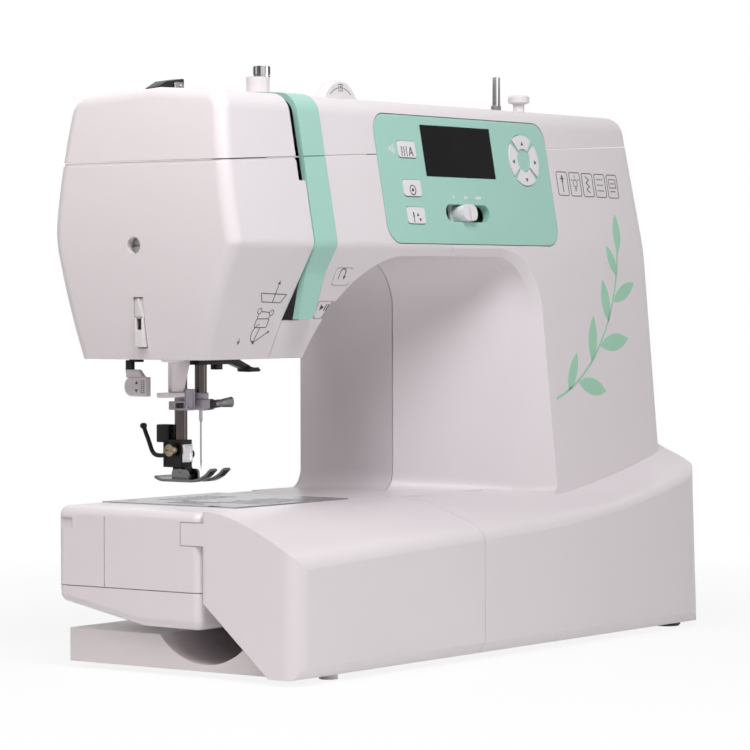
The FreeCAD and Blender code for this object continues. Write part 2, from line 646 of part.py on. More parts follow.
def turned(label, profile, at, axis="z"):
    """A turned body: the half profile is given as (radius, height) pairs of expressions."""
    body = doc.addObject("PartDesign::Body", label)
    sketch = body.newObject("Sketcher::SketchObject", label + "_profile")
    plane = [item for item in body.Origin.OriginFeatures if item.Role == "XZ_Plane"][0]
    sketch.AttachmentSupport = [(plane, "")]
    sketch.MapMode = "FlatFace"
    constrain_outline(sketch, profile)
    spin = body.newObject("PartDesign::Revolution", label + "_turn")
    spin.Profile = sketch
    spin.ReferenceAxis = (sketch, ["V_Axis"])
    spin.Angle = 360
    put(body, at, AXIS_TURN[axis])
    return node(label, body)


def plate(label, outline_points, thickness, at, axis="z"):
    """A flat body padded from a sketched outline of (x, y) pairs of expressions."""
    body = doc.addObject("PartDesign::Body", label)
    sketch = body.newObject("Sketcher::SketchObject", label + "_outline")
    plane = [item for item in body.Origin.OriginFeatures if item.Role == "XY_Plane"][0]
    sketch.AttachmentSupport = [(plane, "")]
    sketch.MapMode = "FlatFace"
    constrain_outline(sketch, outline_points)
    pad = body.newObject("PartDesign::Pad", label + "_pad")
    pad.Profile = sketch
    bind(pad, "Length", thickness)
    put(body, at, AXIS_TURN[axis])
    return body


def constrain_outline(sketch, points):
    """Close a polygon through points and drive each corner from the sheet."""
    values = [(worth(first), worth(second)) for first, second in points]
    count = len(values)
    for index in range(count):
        start = Vector(values[index][0], values[index][1], 0)
        end = Vector(values[(index + 1) % count][0], values[(index + 1) % count][1], 0)
        sketch.addGeometry(Part.LineSegment(start, end), False)
    for index in range(count):
        sketch.addConstraint(Sketcher.Constraint("Coincident", index, 2, (index + 1) % count, 1))
    for index, (first, second) in enumerate(points):
        for kind, axis, text, value in (
            ("DistanceX", -2, first, values[index][0]),
            ("DistanceY", -1, second, values[index][1]),
        ):
            if value == 0:
                sketch.addConstraint(Sketcher.Constraint("PointOnObject", index, 1, axis))
                continue
            made = sketch.addConstraint(Sketcher.Constraint(kind, -1, 1, index, 1, value))
            sketch.setExpression("Constraints[%d]" % made, formula(text))


def worth(text):
    """The value of an expression on the sheet."""
    return float(dims.evalExpression(formula(text)))


# Outlines with rounded corners, and prisms of them

FAR = 400
TOUCH = 0.01
PARALLEL = 0.99
ACROSS_ARM = Rotation(Vector(1, 1, 1), 120)
BASE_STEPS = 8
BASE_SHARES = (0, 0.035, 0.11, 0.22, 0.36, 0.52, 0.72, 1)
PLANES = {
    "yz": (lambda a, b, low: Vector(low, a, b), Vector(1, 0, 0)),
    "xz": (lambda a, b, low: Vector(a, low, b), Vector(0, 1, 0)),
    "xy": (lambda a, b, low: Vector(a, b, low), Vector(0, 0, 1)),
}


def inset_corners(corners, inset):
    """Move every side of a polygon inwards, and shrink or grow its corner rounds to suit."""
    count = len(corners)
    area = sum(corners[i - 1][0] * corners[i][1] - corners[i][0] * corners[i - 1][1] for i in range(count))
    turn = 1 if area > 0 else -1
    sides = []
    for i in range(count):
        ax, ay = corners[i][:2]
        bx, by = corners[(i + 1) % count][:2]
        length = math.hypot(bx - ax, by - ay)
        dx, dy = (bx - ax) / length, (by - ay) / length
        sides.append((ax - turn * dy * inset, ay + turn * dx * inset, dx, dy))
    moved = []
    for i in range(count):
        px, py, pdx, pdy = sides[i - 1]
        qx, qy, qdx, qdy = sides[i]
        bend = pdx * qdy - pdy * qdx
        along = ((qx - px) * qdy - (qy - py) * qdx) / bend
        change = -inset if bend * turn > 0 else inset
        radius = corners[i][2]
        moved.append((px + along * pdx, py + along * pdy, max(radius + change, 0) if radius else 0))
    return moved


def outline(corners, plane, low):
    """A closed wire through corners given as (a, b, round)."""
    to_space = PLANES[plane][0]
    count = len(corners)
    runs = []
    for i in range(count):
        ax, ay, radius = corners[i]
        before, after = corners[i - 1], corners[(i + 1) % count]
        if not radius:
            runs.append(((ax, ay), None, (ax, ay)))
            continue
        ux, uy = before[0] - ax, before[1] - ay
        vx, vy = after[0] - ax, after[1] - ay
        ul, vl = math.hypot(ux, uy), math.hypot(vx, vy)
        ux, uy, vx, vy = ux / ul, uy / ul, vx / vl, vy / vl
        half = math.acos(max(-1, min(1, ux * vx + uy * vy))) / 2
        reach = radius / math.tan(half)
        bx, by = ux + vx, uy + vy
        bl = math.hypot(bx, by)
        depth = radius / math.sin(half) - radius
        runs.append(((ax + ux * reach, ay + uy * reach), (ax + bx / bl * depth, ay + by / bl * depth),
                     (ax + vx * reach, ay + vy * reach)))
    edges = []
    for i in range(count):
        start, middle, end = [point and to_space(point[0], point[1], low) for point in runs[i]]
        if middle:
            edges.append(Part.Arc(start, middle, end).toShape())
        following = to_space(runs[(i + 1) % count][0][0], runs[(i + 1) % count][0][1], low)
        if (following - end).Length > 1e-6:
            edges.append(Part.LineSegment(end, following).toShape())
    return Part.Wire(edges)


def prism(corners, plane, low, high, inset=0):
    """A solid of a rounded outline between two levels of the axis across its plane."""
    wire = outline(inset_corners(corners, inset) if inset else corners, plane, low)
    return Part.Face(wire).extrude(PLANES[plane][1] * (high - low))


def slab(x_range, y_range, z_range):
    """A plain box between limits, for cutting."""
    corner = Vector(x_range[0], y_range[0], z_range[0])
    return Part.makeBox(x_range[1] - x_range[0], y_range[1] - y_range[0], z_range[1] - z_range[0], corner)


def soften(shape, radius, chosen):
    """Round the edges of a solid that pass a test."""
    return shape.makeFillet(radius, [edge for edge in shape.Edges if chosen(edge)])


# The moulded form of head, arm and column


def upper_front_y(z):
    return size("crease_y") + size("upper_lean") * (z - size("crease_z"))


def lower_front_y(z):
    return size("crease_y") + size("lower_lean") * (size("crease_z") - z)


def column_front_y(z):
    return size("crease_y") - size("column_lean") * (size("crease_z") - z)


def top_and_back():
    """Corners of the side view from the front edge of the top to the bulge of the back."""
    edge = size("edge_round")
    return [
        (upper_front_y(size("top_front_z")), size("top_front_z"), edge),
        (size("top_mid_y"), size("top_mid_z"), 0),
        (size("top_back_y"), size("top_back_z"), edge),
        (size("rear_y"), size("back_mid_z"), size("back_round")),
    ]


def crown(inset):
    """The bowed left face, as a long drum lying along Y."""
    radius = size("crown_radius")
    middle = Vector(size("head_x") + radius, -FAR, size("crown_z"))
    return Part.makeCylinder(radius - inset, 2 * FAR, middle, Vector(0, 1, 0))


def head_form(inset):
    """Head and arm up to the column, solid, with every face moved inwards."""
    low_z = size("head_bottom") - size("arch_radius") / 2
    back_reach = (size("rear_y") - size("head_back_y")) / (size("back_mid_z") - size("head_bottom"))
    low_back_y = size("rear_y") - back_reach * (size("back_mid_z") - low_z)
    side = [(lower_front_y(low_z), low_z, 0), (size("crease_y"), size("crease_z"), size("crease_round"))]
    side += top_and_back() + [(low_back_y, low_z, 0)]
    body = prism(side, "yz", size("head_x") - size("arch_radius"), size("joint_x"),
                 inset).common(crown(inset))
    left_face = min(body.Faces, key=lambda face: face.CenterOfMass.x)
    rim = [edge for edge in left_face.Edges if edge.CenterOfMass.z > low_z + inset + 1]
    body = body.makeFillet(size("head_round") - inset, rim)
    return body.common(slab((-FAR, FAR), (-FAR, FAR), (size("head_bottom") + inset, FAR)))


def right_wall_x(z, inset=0):
    """The right wall, which leans inwards as it rises."""
    lean = size("right_lean")
    return size("right_x") - lean * (z - size("lean_z")) - inset * math.hypot(1, lean)


def column_form(inset, bottom):
    """The column from the arm down to a level, solid."""
    side = [(column_front_y(bottom), bottom, 0), (size("crease_y"), size("crease_z"),
                                                  size("column_crease_round"))]
    side += top_and_back() + [(size("rear_y"), bottom, 0)]
    body = prism(side, "yz", size("joint_x"), FAR, inset)
    reach = [(size("joint_x"), bottom, 0), (right_wall_x(bottom, inset), bottom, 0),
             (right_wall_x(FAR, inset), FAR, 0), (size("joint_x"), FAR, 0)]
    body = body.common(prism(reach, "xz", -FAR, FAR))

    def on_wall(edge):
        ends = [abs(point.X - right_wall_x(point.Z, inset)) < TOUCH for point in edge.Vertexes]
        return all(ends) and edge.BoundBox.ZMax > bottom + inset + TOUCH

    return soften(body, size("column_round") - inset, on_wall)


def throat_wall_x(y, grow):
    """The throat wall in plan: square to the arm at the back, slanted, then turning into the front band."""
    slant = (size("band_x") - size("throat_wall_x")) / (size("split_y") - size("band_y"))
    if y >= size("split_y"):
        return size("throat_wall_x") + grow
    if y >= size("band_y"):
        return size("throat_wall_x") + slant * (size("split_y") - y) + grow * math.hypot(1, slant)
    return size("band_x") + size("band_slope") * (size("band_y") - y) + grow * math.hypot(1,
                                                                                          size("band_slope"))


def throat(grow):
    """The free space between head, arm, column and bed, lofted from front to back."""
    bottom = size("bed_top") - size("throat_drop") - grow
    proud = size("throat_clear") + grow
    mouth = size("crease_y") - size("throat_lead") - proud
    inner = size("crease_y") + size("lower_lean") * (size("crease_z") - size("throat_top")) - proud
    flare = size("throat_lead") / size("lower_lean") + size("crease_z") - size("throat_top")
    wide, tight = size("throat_round"), size("foot_round")
    stations = [
        (mouth, flare, size("mouth_round") * wide, size("front_foot") * tight),
        (inner, 0, size("inner_round") * wide, size("front_foot") * tight),
        (size("band_y"), 0, wide, size("band_foot") * tight),
        (size("split_y"), 0, wide, tight),
        (size("rear_y") + tight, 0, wide, tight),
    ]
    left = size("head_x") - size("arch_radius")
    wires = []
    for y, rise, ceiling_round, bed_round in stations:
        ceiling = size("throat_top") + rise + grow
        side_x = size("arch_x") - grow - rise
        wall_x = throat_wall_x(y, grow)
        corners = [
            (left, bottom, 0),
            (left, size("head_bottom") + grow, 0),
            (side_x, size("head_bottom") + grow, 0),
            (side_x, ceiling, size("arch_radius") + grow + rise),
            (wall_x, ceiling, ceiling_round + grow),
            (wall_x, bottom, bed_round + grow),
        ]
        wires.append(outline(corners, "xz", y))
    upper = Part.makeLoft(wires, True, True)
    bed_front = size("arm_front_y") - size("bed_lap")
    foot = size("front_foot") * size("foot_round")
    plan = [(left, mouth, 0), (throat_wall_x(mouth, grow) - foot, mouth, 0),
            (throat_wall_x(size("band_y"), grow) - foot, size("band_y"), 0),
            (throat_wall_x(bed_front, grow) - foot, bed_front, 0), (left, bed_front, 0)]
    return upper.fuse(prism(plan, "xy", -FAR, bottom + size("throat_clear")))


def ridge_z(x):
    """Height of the ridge along the front of the base: level on the left, sweeping up to the right."""
    if x <= size("box_x"):
        share = (x - size("left_x")) / (size("box_x") - size("left_x"))
        return size("ridge_left_z") + share * (size("ridge_seam_z") - size("ridge_left_z"))
    sweep = max(0, (x - size("sweep_x")) / (size("right_x") - size("sweep_x")))
    return size("ridge_seam_z") + size("ridge_slope") * (x - size("box_x")) + size("ridge_sweep") * sweep ** 2


def base_front(inset, left, right):
    """The front of the base, lofted along X; its back lies hidden inside column and arm."""
    front = size("front_y") + inset
    bottom = -FAR if inset else size("feet_height")
    reach = size("arm_front_y") - size("bed_lap") - size("front_y")
    steep = size("chamfer_rise") / size("chamfer_run")
    lift = inset * math.hypot(1, steep)
    chamfer_top = size("feet_height") + size("chamfer_rise") + lift - inset * steep
    chamfer_back = size("front_y") + (size("chamfer_rise") + lift) / steep
    wires = []
    for step in range(BASE_STEPS + 1):
        x = left + (right - left) * step / BASE_STEPS
        ridge = ridge_z(x)
        blend = min(1, max(0, (x - size("shoulder_x")) / size("shoulder_run")))
        blend = blend * blend * (3 - 2 * blend)
        points = []
        for share in BASE_SHARES:
            bed = ridge + (size("bed_top") - ridge) * (1 - (1 - share) ** size("bed_bow"))
            shoulder = ridge + size("shoulder_rise") * share ** 2
            drop = size("lip_drop") * max(0, 1 - share / size("lip_share")) ** 2
            height = bed + (shoulder - bed) * blend - drop
            points.append(Vector(x, front + reach * share, height - inset))
        curve = Part.BSplineCurve()
        curve.interpolate(points)
        below = [points[-1], Vector(x, points[-1].y, bottom), Vector(x, chamfer_back, bottom)]
        if inset:
            below.append(Vector(x, chamfer_back, size("feet_height")))
        below += [Vector(x, front, chamfer_top), points[0]]
        sides = [Part.LineSegment(a, b).toShape() for a, b in zip(below, below[1:])]
        wires.append(Part.Wire([curve.toShape()] + sides))
    return Part.makeLoft(wires, True, False)


def machine_form(inset):
    """Head, arm, column and the base under them as one solid, with every face moved inwards."""
    bottom = -FAR if inset else size("feet_height")
    left = size("box_x") + inset
    front = size("front_y") + inset
    upper = head_form(inset).fuse(column_form(inset, bottom)).cut(throat(inset))
    plans = []
    for level in (bottom, size("top_mid_z")):
        right = right_wall_x(level, inset)
        plan = [(left, front, 0), (right, front, size("base_corner") - inset), (right, size("split_y"), 0),
                (left, size("split_y"), 0)]
        plans.append(outline(plan, "xy", level))
    skirt = base_front(inset, left, right_wall_x(size("feet_height"), inset))
    skirt = skirt.common(Part.makeLoft(plans, True, True))
    bed_front = size("arm_front_y") - size("bed_lap")
    bed_range = (bottom, size("bed_top") - inset)
    bed = slab((left, size("band_x")), (bed_front, size("rear_y") - inset), bed_range)
    members = [skirt, bed]
    if inset:
        passage = (size("arm_front_y"), size("rear_y") - inset)
        members.append(slab((size("box_x") - inset, size("band_x")), passage, bed_range))
    return upper.fuse(members)


def lid_region(shift):
    """Everything above the seam of the top cover."""
    rise = size("lid_rise")
    level = size("lid_z") - rise * size("head_x") + shift
    corners = [(-FAR, level - rise * FAR, 0), (FAR, level + rise * FAR, 0), (FAR, FAR, 0), (-FAR, FAR, 0)]
    return prism(corners, "xz", -FAR, FAR)


def face_region(shift):
    """Everything left of the seam of the face cover, which steps round the thread channel cover."""
    near = size("strip_left") - size("seam") + shift
    far = size("strip_left") - size("slot_width") + shift
    tip = size("strip_tip_z")
    corners = [(-FAR, 0, 0), (far, 0, 0), (far, tip, 0), (near, size("crease_z"), 0),
               (near, size("slot_z"), 0),
               (far, size("slot_z"), 0), (far, FAR, 0), (-FAR, FAR, 0)]
    stepped = prism(corners, "xz", -FAR, size("split_y"))
    return stepped.fuse(slab((-FAR, far), (size("split_y"), FAR), (0, FAR)))


def channel(gap):
    """Room for the thread channel cover and the take-up slot beside it."""
    left = size("strip_left")
    right = left + size("strip_width")
    far = left - size("slot_width")
    back = size("strip_back_y") + gap
    tip = size("strip_tip_z") - gap
    crease = size("crease_z")
    corners = [(left - gap, FAR, 0), (left - gap, crease, 0), (far, tip, 0),
               (right - size("tongue_taper") + gap, tip, size("tongue_round")), (right + 2 * gap, crease, 0),
               (right + 2 * gap, FAR, 0)]
    slot = slab((far, right), (-FAR, back), (size("slot_z"), FAR))
    return prism(corners, "xz", -FAR, back).fuse(slot)


def panel_rect(grow):
    """The rounded outline of the control panel, through the front wall."""
    corners = [(size("panel_left") - grow, size("panel_low") - grow, size("panel_round")),
               (size("panel_right") + grow, size("panel_low") - grow, size("panel_round")),
               (size("panel_right") + grow, size("panel_high") + grow, size("panel_round")),
               (size("panel_left") - grow, size("panel_high") + grow, size("panel_round"))]
    return prism(corners, "xz", -FAR, size("top_mid_y") - size("edge_round"))


# Places on the leaning front faces: x along, depth into the face, rise along the face from the crease

UPPER_TURN = Rotation(Vector(1, 0, 0), -math.degrees(math.atan(size("upper_lean"))))
LOWER_TURN = Rotation(Vector(1, 0, 0), math.degrees(math.atan(size("lower_lean"))))
CREASE = Vector(0, size("crease_y"), size("crease_z"))
INTO_FACE = Rotation(Vector(1, 0, 0), -90)


def rise_of(z_text, turn):
    """Distance along a leaning face from the crease to a height."""
    up = turn.multVec(Vector(0, 0, 1)).z
    return (worth(z_text) - size("crease_z")) / up


def face_block(turn, middle, height, depth, extent):
    """A box centred on a point of a leaning face, between two depths."""
    item = doc.addObject("Part::Box", "face_block")
    bind(item, "Length", extent[0])
    bind(item, "Width", "%s - (%s)" % (depth[1], depth[0]))
    bind(item, "Height", extent[1])
    local = Vector(worth(middle) - worth(extent[0]) / 2, worth(depth[0]),
                   rise_of(height, turn) - worth(extent[1]) / 2)
    item.Placement = Placement(CREASE + turn.multVec(local), turn)
    return item


def face_rod(turn, middle, height, depth, radius, start=0, sweep=360):
    """A cylinder or a sector of one, sunk square into a leaning face."""
    item = doc.addObject("Part::Cylinder", "face_rod")
    bind(item, "Radius", radius)
    bind(item, "Height", "%s - (%s)" % (depth[1], depth[0]))
    item.Angle = sweep
    local = Vector(worth(middle), worth(depth[0]), rise_of(height, turn))
    spin = turn.multiply(INTO_FACE).multiply(Rotation(Vector(0, 0, 1), start))
    item.Placement = Placement(CREASE + turn.multVec(local), spin)
    return item


# Keys, slider and display: the openings in the panel and the pieces in them come from the same values

THROUGH = ("-slider_rise", "board_gap")
SQUARE_KEYS = [("stitch_key", "key_top_z"), ("lock_key", "key_mid_z"), ("needle_key", "key_low_z")]
CURSOR_KEYS = [("cursor_right_key", -39), ("cursor_down_key", 51), ("cursor_left_key", 141),
               ("cursor_up_key", 231)]
CURSOR_SWEEP = 78
CURSOR_SLACK = 2.2
HEAD_KEYS = [("reverse_key", "reverse_x", "reverse_z"), ("start_stop_key", "start_x", "start_z")]


def rounded_pad(turn, middle, height, depth, extent, corner):
    """A box on a leaning face with the corners of its outline rounded."""
    inward = turn.multVec(Vector(0, 1, 0))
    pad = solid_of(face_block(turn, middle, height, depth, extent))

    def upright(edge):
        return abs(edge.tangentAt(edge.FirstParameter).dot(inward)) > PARALLEL

    return soften(pad, size(corner), upright)


def pressed_key(turn, middle, height, extent, wall_text, rise_text):
    """A key cap that stands proud of its wall, with a rim behind the wall."""
    width, tall = extent
    cap = rounded_pad(turn, middle, height, ("-" + rise_text, wall_text + " + 2 * fit"),
                      (width + " - 2 * fit", tall + " - 2 * fit"), "key_round")
    rim = face_block(turn, middle, height, (wall_text + " + fit", wall_text + " + fit + key_rim"),
                     (width + " + 2 * key_rim", tall + " + 2 * key_rim"))
    return cap.fuse(solid_of(rim))


panel_cuts = []
panel_holes = []
KEY_EXTENT = ("key_width", "key_height")
for label, height in SQUARE_KEYS:
    panel_holes.append(rounded_pad(UPPER_TURN, "key_x", height, THROUGH, KEY_EXTENT, "key_round"))
    feature(label, pressed_key(UPPER_TURN, "key_x", height, KEY_EXTENT, "panel_thick", "key_rise"))

for label, start in CURSOR_KEYS:
    hole = cut(face_rod(UPPER_TURN, "pad_x", "pad_z", THROUGH, "pad_radius", start - CURSOR_SLACK,
                        CURSOR_SWEEP + 2 * CURSOR_SLACK),
               face_rod(UPPER_TURN, "pad_x", "pad_z", THROUGH, "pad_core"))
    panel_cuts.append(hole)
    cap = cut(face_rod(UPPER_TURN, "pad_x", "pad_z", ("-key_rise", "panel_thick + 2 * fit"),
                       "pad_radius - fit",
                       start, CURSOR_SWEEP),
              face_rod(UPPER_TURN, "pad_x", "pad_z", THROUGH, "pad_core + fit"))
    rim = cut(face_rod(UPPER_TURN, "pad_x", "pad_z", ("panel_thick + fit", "panel_thick + fit + key_rim"),
                       "pad_radius + key_rim", start, CURSOR_SWEEP),
              face_rod(UPPER_TURN, "pad_x", "pad_z", THROUGH, "pad_core + fit"))
    node(label, join(cap, rim))

panel_holes.append(rounded_pad(UPPER_TURN, "slider_x + slider_shift", "slider_z", THROUGH,
                               ("slider_slot", "slider_height"), "slider_round"))
knob = rounded_pad(UPPER_TURN, "slider_x", "slider_z", ("-slider_rise", "panel_thick + 2 * fit"),
                   ("slider_knob", "slider_height - 2 * fit"), "knob_round")
runner = face_block(UPPER_TURN, "slider_x", "slider_z", ("panel_thick + fit",
                                                         "panel_thick + fit + runner_thick"),
                    ("slider_knob + runner_lap", "slider_height + 2 * runner_lap"))
finger_groove = face_block(UPPER_TURN, "slider_x", "slider_z",
                           ("-slider_rise", "knob_groove_depth - slider_rise"),
                           ("knob_groove", "slider_height"))
feature("speed_slider", knob.fuse(solid_of(runner)).cut(solid_of(finger_groove)))

panel_cuts.append(face_block(UPPER_TURN, "screen_x", "screen_z", THROUGH, ("screen_width", "screen_height")))
node("display_window", face_block(UPPER_TURN, "screen_x", "screen_z", ("0.4", "panel_thick - 1"),
                                  ("screen_width - fit", "screen_height - fit")))
board_middle = "(panel_left + panel_right) / 2"
board_height = "(panel_low + panel_high) / 2"
BOARD_EXTENT = ("panel_right - panel_left - 12", "panel_high - panel_low - 10")
board = face_block(UPPER_TURN, board_middle, board_height, ("board_gap", "board_gap + board_thick"),
                   BOARD_EXTENT)
node("circuit_board", board)


def panel_posts():
    """Four posts behind the panel that the circuit board sits on."""
    posts = []
    for x_text in ("panel_left + board_post_x", "panel_right - board_post_x"):
        for z_text in ("panel_low + board_post_z", "panel_high - board_post_z"):
            posts.append(face_rod(UPPER_TURN, x_text, z_text, ("panel_thick - 1", "board_gap"), "board_post"))
    return posts


# Covers: the hollow form is parted along its seams

wall = size("wall")
half_seam = size("seam") / 2
outer_form = machine_form(0)
shell = outer_form.cut(machine_form(wall))
below_lid = shell.cut(lid_region(-half_seam))
behind = slab((-FAR, FAR), (size("split_y") + half_seam, FAR), (-FAR, FAR))
before = slab((-FAR, FAR), (-FAR, size("split_y") - half_seam), (-FAR, FAR))
channel_room = channel(size("seam"))
panel_room = panel_rect(size("seam"))

HEAD_KEY_EXTENT = ("head_key_width", "head_key_height")
key_room = [rounded_pad(LOWER_TURN, x_text, z_text, THROUGH, HEAD_KEY_EXTENT, "key_round")
            for label, x_text, z_text in HEAD_KEYS]
under_head = (size("head_bottom") - wall, size("head_bottom") + 3 * wall)
bar_room = slab((size("needle_x") - size("bar_room_left"), size("arch_x") - wall / 2),
                (size("hook_y") + size("bar_room_front"), size("presser_y") + size("bar_room_back")),
                under_head)
lever_room = slab((size("hole_lever_x") - size("lever_room"), size("hole_lever_x") + size("lever_room")),
                  (size("hole_lever_y") - size("lever_room") - 1,
                   size("hole_lever_y") + size("lever_room") + 1),
                  under_head)
lifter_room = slab((size("lifter_x"), size("arch_x") + wall),
                   (size("lifter_y") - 1, size("lifter_y") + size("lifter_depth") + 1),
                   (under_head[0], size("lifter_z") + size("lifter_boss")))
underside = [bar_room, lever_room, lifter_room]

for label, x_text, z_text in HEAD_KEYS:
    whole_key = pressed_key(LOWER_TURN, x_text, z_text, HEAD_KEY_EXTENT, "wall", "head_key_rise")
    feature(label, whole_key.cut(throat(wall + size("fit"))))

front_shape = below_lid.common(before).cut(face_region(half_seam))
front_shape = front_shape.cut(key_room + underside + [channel_room, panel_room])
rear_shape = below_lid.common(behind).cut([face_region(half_seam)] + underside)

shaft_hole = Part.makeCylinder(size("shaft_radius") + 2, FAR, Vector(0, size("shaft_y"), size("shaft_z")),
                               Vector(1, 0, 0))


def wall_hole(middle_z, wide, tall):
    return slab((right_wall_x(middle_z) - 3 * wall, right_wall_x(middle_z) + 2 * wall),
                (size("inlet_y") - wide / 2, size("inlet_y") + wide / 2),
                (middle_z - tall / 2, middle_z + tall / 2))


rear_shape = rear_shape.cut([shaft_hole, wall_hole(size("inlet_z"), size("inlet_width"),
                                                   size("inlet_height")),
                             wall_hole(size("switch_z"), size("switch_width"), size("switch_height"))])


def screw_rod(start, radius, length):
    return Part.makeCylinder(radius, length, Vector(size("head_x") + start, size("screw_y"), size("screw_z")),
                             Vector(1, 0, 0))


face_shape = below_lid.common(face_region(-half_seam)).cut(underside + [channel_room])
boss = screw_rod(size("face_boss_start"), size("screw_radius") + size("face_screw_rim"),
                 size("face_screw_boss"))
face_shape = face_shape.fuse(boss.common(outer_form))
lead = size("face_screw_lead")
face_shape = face_shape.cut([screw_rod(-lead, size("screw_radius") + size("fit"),
                                       size("face_screw_seat") + lead),
                             screw_rod(0, size("face_screw_shank") + size("fit"), size("face_screw_reach"))])
cutter_room = slab((size("head_x") - lead, size("head_x") + size("cutter_room")),
                   (size("cutter_y") - size("cutter_width") / 2, size("cutter_y") + size("cutter_width") / 2),
                   (size("cutter_low"), size("cutter_high")))
lid_band = head_form(0).cut(head_form(size("groove"))).common(lid_region(-half_seam - size("lid_groove")))
lid_band = lid_band.common(slab((-FAR, size("strip_left") - size("slot_width")), (-FAR, FAR), (0, FAR)))
face_shape = face_shape.cut([cutter_room, lid_band])


def top_z(y):
    """Height of the top surface, which rises to its ridge."""
    front_y = upper_front_y(size("top_front_z"))
    slope = (size("top_mid_z") - size("top_front_z")) / (size("top_mid_y") - front_y)
    return size("top_front_z") + slope * (min(y, size("top_mid_y")) - front_y)


top_shape = shell.common(lid_region(half_seam)).cut([channel_room, panel_room])
well_x = (size("spool_left"), size("spool_right"))
well_y = (size("spool_front"), size("spool_back"))
tub = slab((well_x[0] - wall, well_x[1] + wall), (well_y[0] - wall, well_y[1] + wall),
           (size("spool_floor") - wall, FAR)).common(outer_form)
top_shape = top_shape.fuse(tub).cut(slab(well_x, well_y, (size("spool_floor"), FAR)))
dial_room = slab((size("dial_x") - size("dial_radius") - 1, size("dial_x") + size("dial_radius") + 1),
                 (size("dial_y") - size("dial_width") / 2 - size("fit"),
                  size("dial_y") + size("dial_width") / 2
                  + size("fit")), (size("dial_z"), FAR))
spindle_hole = Part.makeCylinder(size("spindle_radius") + size("run_fit"), FAR,
                                 Vector(size("spindle_x"), size("spindle_y"), size("lid_z")))
stop_hole = Part.makeCylinder(size("stop_stem") + size("push_fit"), FAR,
                              Vector(size("stop_x"), size("spindle_y"), size("lid_z")))
spindle_boss = Part.makeCylinder(size("spindle_boss"), FAR,
                                 Vector(size("spindle_x"), size("spindle_y"), size("spindle_low") + 1))
pin_hole = Part.makeCylinder(size("spool_pin_radius") + size("push_fit"), size("spool_pin_right"),
                             Vector(0, size("spool_pin_y"), size("spool_pin_z")), Vector(1, 0, 0))
post = Part.makeCylinder(size("post_radius"),
                         size("top_mid_z") + size("post_height") - top_z(size("post_y")) + 1,
                         Vector(size("post_x"), size("post_y"), top_z(size("post_y")) - 1))
ear_gap = size("dial_width") / 2 + size("fit")
dial_ears = []
for ear_y in (size("dial_y") + ear_gap, size("dial_y") - ear_gap - size("dial_ear")):
    ear = slab((size("dial_x") - 2 * size("dial_ear"), size("dial_x") + 2 * size("dial_ear")),
               (ear_y, ear_y + size("dial_ear")), (size("dial_z") - 2 * size("dial_ear"), FAR))
    dial_ears.append(ear.common(outer_form))
dial_bore = Part.makeCylinder(size("dial_axle") + size("run_fit"), 2 * FAR,
                              Vector(size("dial_x"), -FAR, size("dial_z")),
                              Vector(0, 1, 0))
dial_bore = dial_bore.common(slab((-FAR, FAR), (size("dial_y") - ear_gap - size("dial_ear"),
                                                size("dial_y") + ear_gap + size("dial_ear")), (-FAR, FAR)))
top_shape = top_shape.fuse(spindle_boss.common(outer_form)).cut([dial_room, spindle_hole, stop_hole,
                                                                 pin_hole])
top_shape = top_shape.fuse([post] + dial_ears).cut(dial_bore)

feature("front_cover", front_shape)
feature("rear_cover", rear_shape)
feature("face_cover", face_shape)
feature("top_cover", top_shape)

strip_edges = (size("strip_left"), size("strip_left") + size("strip_width"))
strip_room = prism([(strip_edges[0], FAR, 0), (strip_edges[0], size("crease_z"), 0),
                    (strip_edges[0] - size("tongue_drift"), size("strip_tip_z"), 0),
                    (strip_edges[1] - size("tongue_taper"), size("strip_tip_z"), size("tongue_round")),
                    (strip_edges[1], size("crease_z"), 0), (strip_edges[1], FAR, 0)],
                   "xz", -FAR, size("strip_back_y"))
bend_z = size("tongue_bend_z")
start_z = (bend_z + size("crease_z")) / 2
proud = size("strip_rise") * math.hypot(1, size("lower_lean"))
tongue_y = lower_front_y(bend_z) - proud
tip_y = tongue_y + size("tongue_lean") * (bend_z - size("strip_tip_z"))
thick = size("tongue_thick")
tongue = prism([(lower_front_y(start_z) - proud, start_z, 0), (tongue_y, bend_z, size("tongue_sweep")),
                (tip_y, size("strip_tip_z"), 0), (tip_y + thick, size("strip_tip_z"), 0),
                (tongue_y + thick, bend_z, size("tongue_sweep")),
                (lower_front_y(start_z) + thick - proud, start_z, 0)],
               "yz", -FAR, FAR)
above_tongue = slab((-FAR, FAR), (-FAR, FAR), (start_z, FAR))
strip = head_form(-size("strip_rise")).cut(head_form(wall))
strip = strip.common(above_tongue).fuse(tongue).common(strip_room)
strip_line = lid_region(-half_seam).cut(lid_region(half_seam)).cut(head_form(0))
feature("thread_channel_cover", strip.cut(strip_line))

panel_skin = head_form(0).fuse(column_form(0, size("head_bottom")))
panel_back = head_form(size("panel_thick")).fuse(column_form(size("panel_thick"), size("head_bottom")))
panel_hidden = head_form(wall + size("fit")).fuse(column_form(wall + size("fit"), size("head_bottom")))
panel_shape = panel_skin.cut(panel_back).common(panel_rect(0))
panel_shape = panel_shape.fuse(panel_hidden.cut(panel_back).common(panel_rect(size("panel_flange"))))
panel_shape = panel_shape.cut([solid_of(item) for item in panel_cuts] + panel_holes)
panel_shape = panel_shape.fuse([solid_of(item) for item in panel_posts()])
feature("control_panel", panel_shape)


# Free arm: one hollow form, parted into the arm cover and the arm bottom cover


